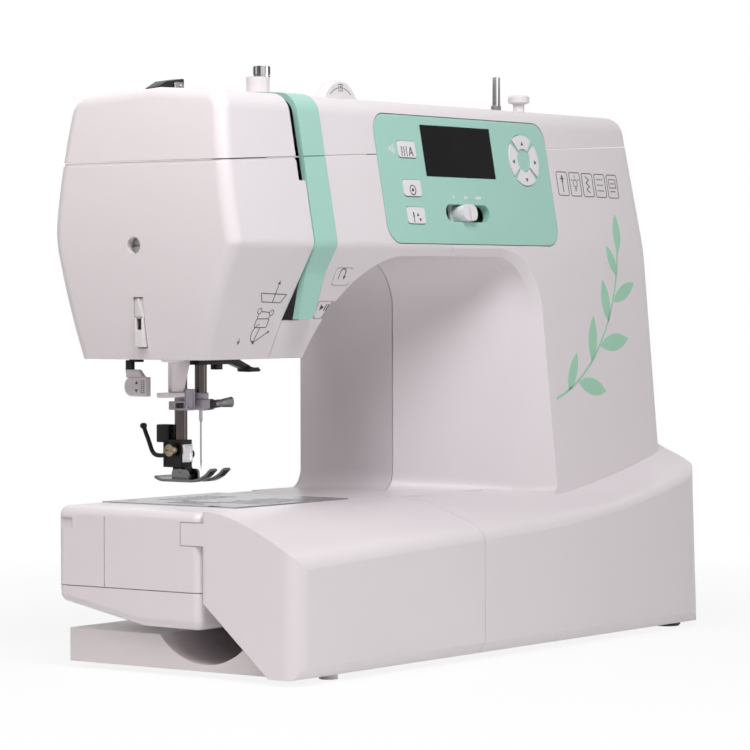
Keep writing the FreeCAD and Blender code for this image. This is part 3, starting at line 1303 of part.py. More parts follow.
def arm_form(inset):
    """The free arm as a solid, with every face but the right end moved inwards."""
    edge = size("arm_round")
    side = [(size("arm_front_y"), size("arm_bottom_z"), edge), (size("arm_front_y"), size("bed_top"), edge),
            (size("arm_back_y"), size("bed_top"), edge), (size("arm_back_y"), size("arm_seam_z"), 0),
            (size("arm_chine_y"), size("arm_chine_z"), edge), (size("arm_keel_y"), size("arm_keel_z"), 0)]
    left = size("left_x") + inset
    right = size("box_x") - size("seam") + 2 * inset
    body = prism(side, "yz", left, right, inset)
    return soften(body, edge - inset, lambda item: item.BoundBox.XMax < left + TOUCH)


arm_outer = arm_form(0)
arm_shell = arm_outer.cut(arm_form(wall))
plate_bottom = size("bed_top") + size("plate_rise") - size("plate_thick")
plate_seat = slab((size("plate_left") - half_seam, size("plate_right") + half_seam),
                  (size("plate_front") - half_seam, size("plate_back") + half_seam), (plate_bottom, FAR))
well = slab((size("well_left"), size("well_right")), (size("well_front"), size("well_back")),
            (size("hook_top"), FAR))
end_groove = slab((size("left_x") - 1, size("left_x") + size("groove")),
                  (size("arm_panel_y") - size("groove") / 2, size("arm_panel_y") + size("groove") / 2),
                  (size("arm_seam_z"), size("bed_top") - size("arm_round")))
notch = slab((size("left_x") - 1, size("left_x") + size("notch_depth")), (size("notch_y"), FAR),
             (size("notch_low"), size("notch_high")))
tab_room = slab((size("left_x") - 1, size("left_x") + size("tab_thick") + size("fit")),
                (-FAR, size("tab_y") + size("fit")),
                (size("tab_low") - size("fit"), size("tab_high") + size("fit")))
tab_back = slab((size("left_x"), size("left_x") + size("tab_thick") + size("fit") + wall),
                (-FAR, size("tab_y") + size("fit") + wall),
                (size("tab_low") - wall, size("tab_high") + wall)).common(arm_outer)
PLATE_SCREWS = [(size("plate_screw_left"), size("plate_screw_y")),
                (size("plate_screw_right"), size("plate_screw_y"))]


def upright_rod(x, y, low, radius, length):
    return Part.makeCylinder(radius, length, Vector(x, y, low))


screw_low = size("bed_top") + size("plate_rise") - size("plate_screw_length")
bosses = [upright_rod(x, y, screw_low, size("plate_screw_boss"), plate_bottom - screw_low) for x,
          y in PLATE_SCREWS]
boss_bores = [upright_rod(x, y, screw_low - 1, size("plate_screw_shank") + size("push_fit"), FAR)
              for x, y in PLATE_SCREWS]
arm_top = arm_shell.fuse([tab_back] + bosses).cut([plate_seat, well, end_groove, notch,
                                                   tab_room] + boss_bores)
arm_top = arm_top.common(slab((-FAR, FAR), (-FAR, FAR), (size("arm_seam_z") + half_seam, FAR)))
arm_low = arm_shell.common(slab((-FAR, FAR), (-FAR, FAR), (-FAR, size("arm_seam_z") - half_seam)))
feature("free_arm_cover", arm_top)
feature("arm_bottom_cover", arm_low)


# Accessory box: hollow, open towards the column, with a hollow underside over the tray


def hollow(grow):
    slope = size("hollow_slope")
    reach = size("bed_top")
    near = (size("hollow_y") - reach, size("hollow_z") - slope * reach, 0)
    far = (size("hollow_y") + reach, size("hollow_z") + slope * reach, 0)
    side = [near, far, (far[0], near[1], 0)]
    return prism(side, "yz", -FAR, FAR, -grow)


def box_form(inset):
    left = size("left_x") + inset
    right = size("box_x") - size("seam") + 2 * inset
    low = size("feet_height") + inset
    back = size("arm_front_y") - size("seam") - inset
    front = size("front_y") + inset
    body = base_front(inset, left, right).fuse(
        slab((left, right), (size("arm_front_y") - size("bed_lap"), back), (low, size("bed_top") - inset)))
    corner = size("box_corner") - inset
    plan = [(left, back, corner / 3), (left, front, corner), (right, front, 0), (right, back, 0)]
    return body.common(prism(plan, "xy", low, size("bed_top"))).cut(hollow(inset))


tab = slab((size("left_x"), size("left_x") + size("tab_thick")),
           (size("arm_front_y") - 2 * wall, size("tab_y")),
           (size("tab_low"), size("tab_high")))
nub = upright_rod(size("nub_x"), size("nub_y"), size("nub_clear"), size("nub_radius"),
                  size("feet_height") - size("nub_clear") + wall / 2)
feature("accessory_box", box_form(0).cut(box_form(wall)).fuse([tab, nub]))


# Base tray: a floor under the column and a scooped block under the free arm

floor_top = size("feet_height") + size("tray_floor")
side_gap = wall + size("fit")
steep = size("chamfer_rise") / size("chamfer_run")
floor_front = size("front_y") + (size("chamfer_rise") + side_gap * math.hypot(1, steep)) / steep
floor_plan = [(size("box_x") + side_gap, floor_front, 0),
              (size("right_x") - side_gap, floor_front, size("base_corner") - side_gap),
              (size("right_x") - side_gap, size("rear_y") - side_gap, size("column_round") - side_gap),
              (size("box_x") + side_gap, size("rear_y") - side_gap, 0)]
floor = prism(floor_plan, "xy", size("feet_height"), floor_top)
lip_drop = size("tray_lip_gap")
slope = size("hollow_slope")


def tray_block(inset):
    """The block under the arm: its front slopes just below the hollow of the accessory box."""
    low = size("feet_height") - (FAR if inset else 0)
    top = size("tray_block_z")
    lean = math.hypot(1, slope) * lip_drop
    front_low = size("hollow_y") + (low - size("hollow_z") + lean) / slope
    front_top = size("hollow_y") + (top - size("hollow_z") + lean) / slope
    side = [(front_low, low, 0), (front_top, top, 0), (size("tray_back_y"), top, 0),
            (size("tray_back_y"), low, 0)]
    return prism(side, "yz", size("tray_x") + inset, size("box_x") - size("seam") - inset, inset)


def scoop(grow):
    centre = Vector(-FAR, size("scoop_y"), size("scoop_low") + size("scoop_radius"))
    return Part.makeCylinder(size("scoop_radius") + grow, 2 * FAR, centre, Vector(1, 0, 0))


block_form = tray_block(0)
pads = [(size("foot_left_x"), size("foot_back_y")), (size("foot_left_x"), size("foot_inner_y"))]
pad_bosses = [upright_rod(x, y, size("feet_height"), size("foot_pad_radius") + 2, FAR).common(block_form)
              for x, y in pads]
bridge = slab((size("box_x") - 4 * size("tray_floor"), size("box_x") + side_gap),
              (size("arm_front_y"), size("tray_back_y") - size("tray_floor")),
              (size("feet_height"), floor_top))
tray = block_form.cut(tray_block(size("tray_floor")).cut(scoop(size("tray_floor"))))
tray = tray.fuse(pad_bosses).cut(scoop(0)).fuse([floor, bridge])
feature("base_tray", tray)

FEET = [("foot_left_x", "foot_back_y"), ("foot_left_x", "foot_inner_y"), ("foot_right_x", "foot_back_y"),
        ("foot_right_x", "foot_front_y")]
feet = []
for x_text, y_text in FEET:
    feet.append(cone((x_text, y_text, "0"), "foot_pad_radius - foot_taper", "foot_pad_radius", "foot_taper"))
    feet.append(rod((x_text, y_text, "foot_taper"), "foot_pad_radius", "feet_height - foot_taper"))
node("rubber_feet", join(*feet))


# Needle plate, bobbin cover, feed dog, hook and bobbin

plate_z = "bed_top + plate_rise - plate_thick"
plate_body = plate("plate_body", [("plate_left", "window_back"), ("window_right", "window_back"),
                                  ("window_right", "plate_front"), ("plate_right", "plate_front"),
                                  ("plate_right", "plate_back"), ("plate_left", "plate_back")],
                   "plate_thick", ("0", "0", plate_z))
FEED_ROWS = [("needle_x - feed_row", "feed_front"), ("needle_x", "needle_y + 3 * feed_travel"),
             ("needle_x + feed_row", "feed_front")]
plate_holes = [block(("needle_x - needle_hole", "needle_y - 1", plate_z),
                     ("2 * needle_hole", "2", "plate_thick"))]
for x_text, y_text in FEED_ROWS:
    slot_start = y_text + " - feed_travel - fit"
    plate_holes.append(block((x_text + " - feed_width / 2 - fit", slot_start, plate_z),
                             ("feed_width + 2 * fit", "feed_back + feed_travel + fit - (%s)" % slot_start,
                              "plate_thick")))
for x_text in ("plate_screw_left", "plate_screw_right"):
    plate_holes.append(rod((x_text, "plate_screw_y", plate_z), "plate_screw_head + push_fit", "plate_thick"))
node("needle_plate", cut(plate_body, *plate_holes))

lid_block = block(("plate_left", "plate_front", plate_z),
                  ("window_right - plate_left - seam", "window_back - plate_front - seam", "plate_thick"))
thumb = block(("plate_left", "hook_y - cover_recess / 2", "bed_top + plate_rise - groove"),
              ("cover_recess / 2", "cover_recess", "groove"))
node("bobbin_cover", cut(lid_block, thumb))

feed_members = [slab((size("needle_x") - size("feed_row") - size("feed_width") / 2,
                      size("needle_x") + size("feed_row") + size("feed_width") / 2),
                     (size("needle_y") + 3 * size("feed_travel"), size("feed_rear")),
                     (size("feed_low"), size("feed_low") + size("feed_carrier")))]
for x_text, y_text in FEED_ROWS:
    start = worth(y_text)
    root = size("feed_low")
    corners = [(start, root, 0)]
    count = int((size("feed_back") - start) / size("feed_pitch"))
    for step in range(count):
        at = start + step * size("feed_pitch")
        corners.append((at, size("feed_top") - size("feed_tooth"), 0))
        corners.append((at + size("feed_pitch") * size("feed_crest"), size("feed_top"), 0))
    corners.append((size("feed_back"), size("feed_top") - size("feed_tooth"), 0))
    corners.append((size("feed_back"), root, 0))
    left = worth(x_text) - size("feed_width") / 2
    feed_members.append(prism(corners, "yz", left, left + size("feed_width")))
feature("feed_dog", feed_members[0].fuse(feed_members[1:]))

turned("hook_race", [("0", "hook_foot"), ("hook_stem", "hook_foot"), ("hook_stem", "gear_low"),
                     ("gear_radius", "gear_low"), ("gear_radius", "gear_high"), ("hook_stem", "gear_high"),
                     ("hook_stem", "hook_top - hook_depth"), ("hook_radius", "hook_top - hook_depth"),
                     ("hook_radius", "hook_top"), ("hook_radius - hook_wall", "hook_top"),
                     ("hook_radius - hook_wall", "hook_top - hook_depth + hook_floor"),
                     ("0", "hook_top - hook_depth + hook_floor")], ("needle_x", "hook_y", "0"))
bobbin_z = "hook_top - hook_depth + hook_floor + fit"
turned("bobbin", [("bobbin_bore", "0"), ("bobbin_radius", "0"), ("bobbin_radius", "bobbin_flange"),
                  ("bobbin_core", "bobbin_flange"), ("bobbin_core", "bobbin_height - bobbin_flange"),
                  ("bobbin_radius", "bobbin_height - bobbin_flange"), ("bobbin_radius", "bobbin_height"),
                  ("bobbin_bore", "bobbin_height")], ("needle_x", "hook_y", bobbin_z))


# Screws: the face cover screw and the two needle plate screws

face_seat = "head_x + face_screw_seat"
face_screw = cut(join(rod((face_seat + " - face_screw_head", "screw_y", "screw_z"), "screw_radius",
                          "face_screw_head", "x"),
                      rod((face_seat, "screw_y", "screw_z"), "face_screw_shank", "face_screw_length", "x")),
                 block((face_seat + " - face_screw_head", "screw_y - screw_radius",
                        "screw_z - drive_slot / 2"),
                       ("drive_slot", "2 * screw_radius", "drive_slot")))
screws = [face_screw]
for x_text in ("plate_screw_left", "plate_screw_right"):
    head = rod((x_text, "plate_screw_y", plate_z), "plate_screw_head", "plate_thick")
    shank = rod((x_text, "plate_screw_y", "bed_top + plate_rise - plate_screw_length"), "plate_screw_shank",
                "plate_screw_length - plate_thick")
    slot = block((x_text + " - plate_screw_head", "plate_screw_y - drive_slot / 2",
                  "bed_top + plate_rise - groove"),
                 ("2 * plate_screw_head", "drive_slot", "groove"))
    screws.append(cut(join(head, shank), slot))
node("cover_screws", join(*screws))

cutter = block(("head_x + cutter_sink", "cutter_y - cutter_width / 2 + fit", "cutter_low + fit"),
               ("cutter_depth", "cutter_width - 2 * fit", "cutter_high - cutter_low - 2 * fit"))
slit = block(("head_x + cutter_sink", "cutter_y - cutter_slit / 2", "cutter_low"),
             ("cutter_depth / 2", "cutter_slit", "(cutter_high - cutter_low) * 0.7"))
node("thread_cutter", cut(cutter, slit))


# Needle bar with its clamp, screw and needle

needle_top = "needle_tip_z + needle_length"
node("needle_bar", rod(("needle_x", "needle_y", needle_top + " + fit"), "needle_bar_radius",
                       "needle_bar_top - (%s + fit)" % needle_top))
clamp = block(("needle_x - clamp_width / 2", "needle_y - clamp_depth / 2", "clamp_low"),
              ("clamp_width", "clamp_depth", "clamp_height"))
node("needle_clamp", cut(clamp, rod(("needle_x", "needle_y", "clamp_low"), "shank_radius + push_fit",
                                    "clamp_height"),
                         rod(("needle_x", "needle_y", needle_top), "needle_bar_radius + push_fit",
                             "clamp_height"),
                         rod(("needle_x", "needle_y", "clamp_screw_z"), "clamp_screw_radius + push_fit",
                             "clamp_width", "x")))
screw_start = "needle_x + shank_radius + 2 * push_fit"
turned("clamp_screw", [("0", "0"), ("clamp_screw_radius", "0"),
                       ("clamp_screw_radius", "clamp_width / 2 + fit - shank_radius"),
                       ("clamp_boss_radius", "clamp_width / 2 + fit - shank_radius"),
                       ("clamp_boss_radius", "clamp_boss_x - (%s)" % screw_start),
                       ("clamp_screw_radius", "clamp_boss_x - (%s)" % screw_start),
                       ("clamp_screw_radius", "clamp_knob_x - (%s)" % screw_start),
                       ("clamp_knob_radius", "clamp_knob_x - (%s)" % screw_start),
                       ("clamp_knob_radius", "clamp_knob_end - (%s)" % screw_start),
                       ("0", "clamp_knob_end - (%s)" % screw_start)],
       (screw_start, "needle_y", "clamp_screw_z"), "x")
turned("needle", [("0", "0"), ("needle_blade", "needle_taper"), ("needle_blade", "needle_shoulder"),
                  ("shank_radius", "needle_shoulder + 2"), ("shank_radius", "needle_length"),
                  ("0", "needle_length")],
       ("needle_x", "needle_y", "needle_tip_z"))


# Presser bar, foot holder, screw, release lever and foot

node("presser_bar", rod(("needle_x", "presser_y", "bar_seat"), "presser_radius", "presser_top - bar_seat"))
collar = block(("needle_x - ankle_width / 2", "holder_front", "holder_low"),
               ("ankle_width", "holder_back - holder_front", "holder_high - holder_low"))
tongue = block(("needle_x - tongue_width / 2", "holder_front", "tongue_low"),
               ("tongue_width", "holder_back - holder_front - 4", "holder_low - tongue_low"))
holder_lug = block(("needle_x - ankle_width / 2", "holder_lug_front", "holder_lug_low"),
                   ("holder_lug_width", "holder_lug_depth", "holder_lug_high - holder_lug_low"))
node("foot_holder", cut(join(collar, tongue, holder_lug),
                        rod(("needle_x", "presser_y", "bar_seat"), "presser_radius + push_fit",
                            "holder_high - bar_seat"),
                        rod(("needle_x - ankle_width / 2", "presser_y", "foot_screw_z"),
                            "foot_screw_radius + push_fit",
                            "ankle_width / 2", "x"),
                        rod(("needle_x - tongue_width / 2", "ankle_pin_y", "ankle_pin_z"),
                            "ankle_pin_radius + run_fit", "tongue_width", "x"),
                        block(("needle_x - tongue_width / 2", "ankle_pin_y - ankle_pin_radius - run_fit",
                               "tongue_low"),
                              ("tongue_width", "2 * (ankle_pin_radius + run_fit)",
                               "ankle_pin_z - tongue_low"))))
holder_left = "needle_x - ankle_width / 2 - foot_screw_x"
bar_left = "needle_x - presser_radius - 2 * push_fit - foot_screw_x"
turned("foot_screw", [("0", "0"), ("foot_screw_knob", "0"), ("foot_screw_knob", "foot_screw_grip"),
                      ("foot_screw_collar", "foot_screw_grip"),
                      ("foot_screw_collar", holder_left + " - seat_gap"),
                      ("foot_screw_radius", holder_left + " - seat_gap"), ("foot_screw_radius", bar_left),
                      ("0", bar_left)],
       ("foot_screw_x", "presser_y", "foot_screw_z"), "x")

release_arm = plate("release_arm", [("0", "-release_radius"),
                                    ("release_bend + release_thick / 2",
                                     "release_bend_rise - release_radius"),
                                    ("release_reach + release_thick / 2", "release_rise"),
                                    ("release_reach - release_thick / 2", "release_rise"),
                                    ("release_bend - release_thick / 2",
                                     "release_bend_rise + release_radius"),
                                    ("0", "release_radius")],
                    "release_width", ("needle_x - release_width / 2", "release_y", "release_z"))
release_arm.Placement.Rotation = ACROSS_ARM
node("release_lever", join(release_arm, rod(("needle_x - release_width / 2", "release_y", "release_z"),
                                            "release_radius", "release_width", "x")))

half_sole = size("sole_width") / 2
heel_y = size("toe_y") + size("sole_length")
sole_top = size("sole_z") + size("sole_thick")
bend_y = size("toe_y") + size("toe_run")
knee_y = bend_y - size("toe_run") * size("toe_knee")
sole_line = [(heel_y, size("heel_lift")), (heel_y - size("heel_run"), 0), (bend_y, 0),
             (knee_y, size("toe_lift") * size("toe_knee_lift")), (size("toe_y"), size("toe_lift"))]
sole_side = [(y, sole_top + rise, 0) for y, rise in sole_line]
sole_side += [(y, size("sole_z") + rise, 0) for y, rise in reversed(sole_line)]
middle = size("needle_x")
sole = prism(sole_side, "yz", middle - half_sole, middle + half_sole)
toe_slot = slab((middle - size("toe_gap") / 2, middle + size("toe_gap") / 2),
                (-FAR, size("needle_y") + 2), (0, FAR))
needle_slot = slab((middle - size("needle_hole") - 1, middle + size("needle_hole") + 1),
                   (size("needle_y") - 2, size("needle_y") + 2), (0, FAR))
cheeks = []
for side_x in (middle - size("tongue_width") / 2 - size("fit") - size("cheek_thick"),
               middle + size("tongue_width") / 2 + size("fit")):
    cheeks.append(slab((side_x, side_x + size("cheek_thick")),
                       (size("ankle_pin_y") - size("cheek_front"), size("ankle_pin_y") + size("cheek_back")),
                       (size("sole_z") + 1, size("holder_low") - size("cheek_room"))))
pin_reach = size("tongue_width") / 2 + size("fit") + size("cheek_thick")
pin = Part.makeCylinder(size("ankle_pin_radius"), 2 * pin_reach,
                        Vector(middle - pin_reach, size("ankle_pin_y"), size("ankle_pin_z")), Vector(1, 0, 0))
feature("presser_foot", sole.cut([toe_slot, needle_slot]).fuse(cheeks + [pin]))


# Levers of the head

tip_x = size("lifter_x") + size("lifter_reach")
tip_z = size("lifter_z") - size("lifter_drop")
half = size("lifter_half")
lifter_side = [(size("lifter_x"), size("lifter_z") - size("lifter_boss"), 0),
               (tip_x - 3 * half, tip_z - half / 2, 0), (tip_x, tip_z - half, half / 2),
               (tip_x + half, tip_z + half, half),
               (size("lifter_x"), size("lifter_z") + size("lifter_boss"), 0)]
lifter_y = (size("lifter_y"), size("lifter_y") + size("lifter_depth"))
lifter_boss = Part.makeCylinder(size("lifter_boss"), size("lifter_depth"),
                                Vector(size("lifter_x"), lifter_y[0], size("lifter_z")), Vector(0, 1, 0))
lifter_bore = Part.makeCylinder(size("lifter_pin") + size("run_fit"), FAR,
                                Vector(size("lifter_x"), lifter_y[0] - 1, size("lifter_z")), Vector(0, 1, 0))
feature("lifter_lever", prism(lifter_side, "xz", lifter_y[0], lifter_y[1]).fuse(lifter_boss).cut(lifter_bore))

knob_top = "hole_lever_z + hole_knob_height"
node("buttonhole_stem", block(("hole_lever_x - stem_width / 2", "hole_lever_y - stem_depth / 2", knob_top),
                              ("stem_width", "stem_depth", "stem_top - (%s)" % knob_top)))
node("buttonhole_knob", block(("hole_lever_x - hole_knob_width / 2", "hole_lever_y - hole_knob_depth / 2",
                               "hole_lever_z"), ("hole_knob_width", "hole_knob_depth", "hole_knob_height")))

threader_body = block(("threader_left", "threader_y - threader_depth / 2", "threader_low"),
                      ("threader_right - threader_left", "threader_depth", "threader_height"))
threader_hook = block(("threader_right - threader_radius * 2", "threader_y - threader_depth / 2",
                       "threader_low - threader_hook"), ("threader_radius * 2", "threader_radius * 2",
                                                         "threader_hook"))
threader_rod = rod(("threader_x", "threader_y", "threader_low"), "threader_radius", "stem_top - threader_low")
node("needle_threader", join(threader_body, threader_hook, threader_rod))

pivot = (size("take_up_y"), size("take_up_z"), size("take_up_boss"))
tip = (size("take_up_tip_y"), size("take_up_tip_z"), size("take_up_tip"))


def hull(first, second, low, high):
    """A bar or belt outline round two circles given as (y, z, radius), between two levels of x."""
    span = math.hypot(second[0] - first[0], second[1] - first[1])
    along = math.atan2(second[1] - first[1], second[0] - first[0])
    open_angle = math.acos((first[2] - second[2]) / span)

    def rim(circle, angle):
        return Vector(low, circle[0] + circle[2] * math.cos(angle), circle[1] + circle[2] * math.sin(angle))

    over, under = along + open_angle, along - open_angle
    wire = Part.Wire([
        Part.LineSegment(rim(first, over), rim(second, over)).toShape(),
        Part.Arc(rim(second, over), rim(second, along), rim(second, under)).toShape(),
        Part.LineSegment(rim(second, under), rim(first, under)).toShape(),
        Part.Arc(rim(first, under), rim(first, along + math.pi), rim(first, over)).toShape(),
    ])
    return Part.Face(wire).extrude(Vector(high - low, 0, 0))


def shaft_rod(circle, radius, low, high):
    return Part.makeCylinder(radius, high - low, Vector(low, circle[0], circle[1]), Vector(1, 0, 0))


lever_x = (size("take_up_x"), size("take_up_x") + size("take_up_thick"))
lever = hull(pivot, tip, lever_x[0], lever_x[1])
lever = lever.cut([shaft_rod(pivot, size("take_up_pin") + size("run_fit"), lever_x[0] - 1, lever_x[1] + 1),
                   shaft_rod(tip, size("take_up_eye"), lever_x[0] - 1, lever_x[1] + 1)])
feature("take_up_lever", lever)


# Main shaft, handwheel, lower shaft, motor, pulley and belts

timing = ("timing_x", "timing_x + pulley_width")
drive = ("drive_x", "drive_x + pulley_width")


def along_x(radius, text, start):
    return (radius, "%s - (%s)" % (text, start))


turned("main_shaft", [("0", "0"), ("crank_radius", "0"), ("crank_radius", "crank_width"),
                      ("shaft_radius", "crank_width"),
                      along_x("shaft_radius", timing[0], "crank_x"),
                      along_x("timing_radius", timing[0], "crank_x"),
                      along_x("timing_radius", timing[1], "crank_x"),
                      along_x("shaft_radius", timing[1], "crank_x"),
                      along_x("shaft_radius", drive[0], "crank_x"),
                      along_x("main_pulley_radius", drive[0], "crank_x"),
                      along_x("main_pulley_radius", drive[1], "crank_x"),
                      along_x("shaft_radius", drive[1], "crank_x"),
                      along_x("shaft_radius", "shaft_end", "crank_x"), along_x("0", "shaft_end", "crank_x")],
       ("crank_x", "shaft_y", "shaft_z"), "x")
turned("handwheel", [("shaft_radius + push_fit", "-wheel_hub_length"), ("wheel_hub", "-wheel_hub_length"),
                     ("wheel_hub", "0"), ("wheel_radius - wheel_bevel", "0"),
                     ("wheel_radius", "wheel_bevel"), ("wheel_radius", "wheel_width - wheel_bevel"),
                     ("wheel_radius - wheel_bevel", "wheel_width"), ("wheel_dish", "wheel_width"),
                     ("wheel_dish - wheel_dish_depth", "wheel_width - wheel_dish_depth"),
                     ("0", "wheel_width - wheel_dish_depth"), ("0", "wheel_bore_depth"),
                     ("shaft_radius + push_fit", "wheel_bore_depth")],
       ("right_x + wheel_gap", "shaft_y", "shaft_z"), "x")
turned("lower_shaft", [("0", "0"), ("gear_radius", "0"), ("gear_radius", "gear_width"),
                       ("lower_radius", "gear_width"),
                       along_x("lower_radius", timing[0], "gear_x"),
                       along_x("timing_radius", timing[0], "gear_x"),
                       along_x("timing_radius", timing[1], "gear_x"), along_x("0", timing[1], "gear_x")],
       ("gear_x", "lower_y", "lower_z"), "x")
turned("motor", [("0", "0"), ("motor_radius", "0"), ("motor_radius", "motor_length"),
                 ("motor_boss", "motor_length"),
                 ("motor_boss", "motor_length + motor_boss_length"),
                 ("motor_shaft", "motor_length + motor_boss_length"),
                 along_x("motor_shaft", drive[1], "motor_x"), along_x("0", drive[1], "motor_x")],
       ("motor_x", "motor_y", "motor_z"), "x")
turned("motor_pulley", [("motor_shaft + run_fit", "0"), ("motor_pulley_radius", "0"),
                        ("motor_pulley_radius", "pulley_width"), ("motor_shaft + run_fit", "pulley_width")],
       ("drive_x", "motor_y", "motor_z"), "x")


def belt(first, second, low):
    high = low + size("pulley_width")
    slack = size("run_fit")
    inner = [(item[0], item[1], item[2] + slack) for item in (first, second)]
    outer = [(item[0], item[1], item[2] + slack + size("belt_thick")) for item in (first, second)]
    return hull(outer[0], outer[1], low, high).cut(hull(inner[0], inner[1], low - 1, high + 1))


top_axis = (size("shaft_y"), size("shaft_z"))
low_axis = (size("lower_y"), size("lower_z"))
motor_axis = (size("motor_y"), size("motor_z"))
timing_belt = belt(top_axis + (size("timing_radius"),), low_axis + (size("timing_radius"),), size("timing_x"))
drive_belt = belt(top_axis + (size("main_pulley_radius"),), motor_axis + (size("motor_pulley_radius"),),
                  size("drive_x"))
feature("drive_belts", Part.makeCompound([timing_belt, drive_belt]))


# Cast chassis: beams in arm and bed, an upright, and lugs that carry the moving pieces

beams = [
    block(("chassis_left", "chassis_y", "beam_low"), ("chassis_right - chassis_left", "chassis_depth",
                                                      "beam_height")),
    block(("chassis_left", "chassis_y", "bed_beam_low"),
          ("chassis_right - chassis_left", "chassis_depth", "bed_beam_height")),
    block(("upright_left", "chassis_y", "feet_height + tray_floor"),
          ("chassis_right - upright_left", "chassis_depth",
           "beam_low - feet_height - tray_floor + lug_margin")),
    block(("chassis_left", "chassis_y", "guide_low"), ("guide_width", "chassis_depth",
                                                       "beam_low - guide_low + lug_margin")),
]
guides = [block(("chassis_left", "guide_front", z_text), ("guide_width", "chassis_y - guide_front + 1",
                                                          "guide_thick"))
          for z_text in ("guide_low", "beam_low")]
lugs = [block((x_text, "shaft_y - shaft_radius - lug_margin", "shaft_z - shaft_radius - lug_margin"),
              ("lug_width", "chassis_y + 1 - shaft_y + shaft_radius + lug_margin",
               "2 * (shaft_radius + lug_margin)"))
        for x_text in ("upper_lug_left", "lug_right")]
lugs += [block((x_text, "lower_y - lower_radius - lug_margin", "bed_beam_low"),
               ("lug_width", "chassis_y + 1 - lower_y + lower_radius + lug_margin", "bed_beam_height"))
         for x_text in ("lower_lug_left", "lug_right")]
hook_lug = block(("needle_x - hook_lug_half", "hook_y - hook_lug_half", "hook_lug_low"),
                 ("2 * hook_lug_half", "hook_lug_back - hook_y + hook_lug_half", "hook_lug_height"))
hook_riser = block(("needle_x - hook_lug_half", "chassis_y", "hook_lug_low"),
                   ("2 * hook_lug_half", "hook_lug_back - chassis_y",
                    "bed_beam_low - hook_lug_low + lug_margin"))
rail = block(("needle_x - hook_lug_half", "rail_front", "bed_beam_low + lug_margin"),
             ("2 * hook_lug_half", "chassis_y + chassis_depth - rail_front",
              "feed_low - fit - bed_beam_low - lug_margin"))
take_up_lug = block(("take_up_lug_x", "take_up_y - take_up_pin - 3", "take_up_z - take_up_pin - 5"),
                    ("take_up_lug_width", "chassis_y + 1 - take_up_y + take_up_pin + 3",
                     "2 * (take_up_pin + 5)"))
take_up_pin = rod(("take_up_x - 1", "take_up_y", "take_up_z"), "take_up_pin",
                  "take_up_lug_x - take_up_x + 2", "x")
lifter_lug = block(("lifter_x - lifter_lug_half", "lifter_lug_front", "lifter_lug_low"),
                   ("2 * lifter_lug_half", "chassis_y + chassis_depth / 2 - lifter_lug_front",
                    "guide_low + guide_thick - lifter_lug_low"))
lifter_pin = rod(("lifter_x", "lifter_y", "lifter_z"), "lifter_pin", "lifter_lug_front - lifter_y + 1", "y")
lifter_rib = block(("chassis_left + guide_width - 1", "chassis_y", "guide_low"),
                   ("lifter_x - chassis_left - guide_width", "chassis_depth", "guide_thick"))
bracket = block(("bracket_x", "bracket_front", "motor_z - bracket_half"),
                ("bracket_length", "chassis_y + 1 - bracket_front", "2 * bracket_half"))
stem_ear = block(("hole_lever_x - hole_knob_width", "guide_front + 2 * lug_width", "beam_low"),
                 ("chassis_left + 1 - hole_lever_x + hole_knob_width",
                  "chassis_y + chassis_depth - guide_front - 2 * lug_width",
                  "guide_thick"))
castings = join(*(beams + guides + lugs + [hook_lug, hook_riser, rail, take_up_lug, take_up_pin,
                                           lifter_lug, lifter_pin,
                                           lifter_rib, bracket, stem_ear]))
bores = [
    rod(("needle_x", "needle_y", "0"), "needle_bar_radius + run_fit", "needle_bar_top + lug_width"),
    rod(("needle_x", "presser_y", "bed_top"), "presser_radius + run_fit",
        "presser_top - bed_top + lug_width"),
    rod(("threader_x", "threader_y", "bed_top"), "threader_radius + run_fit",
        "presser_top - bed_top + lug_width"),
    rod(("needle_x", "hook_y", "0"), "hook_stem + run_fit", "hook_top"),
    rod(("crank_x", "shaft_y", "shaft_z"), "shaft_radius + run_fit", "shaft_end - crank_x", "x"),
    rod(("gear_x", "lower_y", "lower_z"), "lower_radius + run_fit", "shaft_end - gear_x", "x"),
    rod(("motor_x", "motor_y", "motor_z"), "motor_radius + push_fit", "motor_length", "x"),
    block(("hole_lever_x - stem_width / 2 - fit", "hole_lever_y - stem_depth / 2 - fit", "beam_low"),
          ("stem_width + 2 * fit", "stem_depth + 2 * fit", "guide_thick")),
]
node("chassis", cut(castings, *bores))

node("led_lamp", block(("lamp_x", "lamp_y", "head_bottom - seat_gap - lamp_height"),
                       ("lamp_size", "lamp_size", "lamp_height")))


# Pieces on the top

turned("tension_dial", [("0", "-dial_width / 2 - dial_ear"), ("dial_axle", "-dial_width / 2 - dial_ear"),
                        ("dial_axle", "-dial_width / 2"), ("dial_radius - dial_groove", "-dial_width / 2"),
                        ("dial_radius", "-dial_width / 2 + dial_groove"),
                        ("dial_radius", "dial_width / 2 - dial_groove"),
                        ("dial_radius - dial_groove", "dial_width / 2"), ("dial_axle", "dial_width / 2"),
                        ("dial_axle", "dial_width / 2 + dial_ear"), ("0", "dial_width / 2 + dial_ear")],
       ("dial_x", "dial_y", "dial_z"), "y")
turned("winder_guide_cap", [("0", "0"), ("cap_radius", "0"), ("cap_radius", "cap_rim"),
                            ("cap_neck", "cap_rim"),
                            ("cap_neck", "cap_stem_height"), ("cap_radius", "cap_stem_height"),
                            ("cap_radius", "cap_height - seat_gap - cap_bevel"),
                            ("cap_radius - cap_bevel", "cap_height - seat_gap"),
                            ("0", "cap_height - seat_gap")],
       ("post_x + cap_shift_x", "post_y - cap_shift_y", "top_mid_z + post_height + seat_gap"))
flange_z = top_z(size("spindle_y") + size("spindle_flange")) + size("seat_gap")
SPINDLE_FLANGE = "%.2f - spindle_low" % flange_z
SPINDLE_END = "top_mid_z + spindle_height - spindle_low"
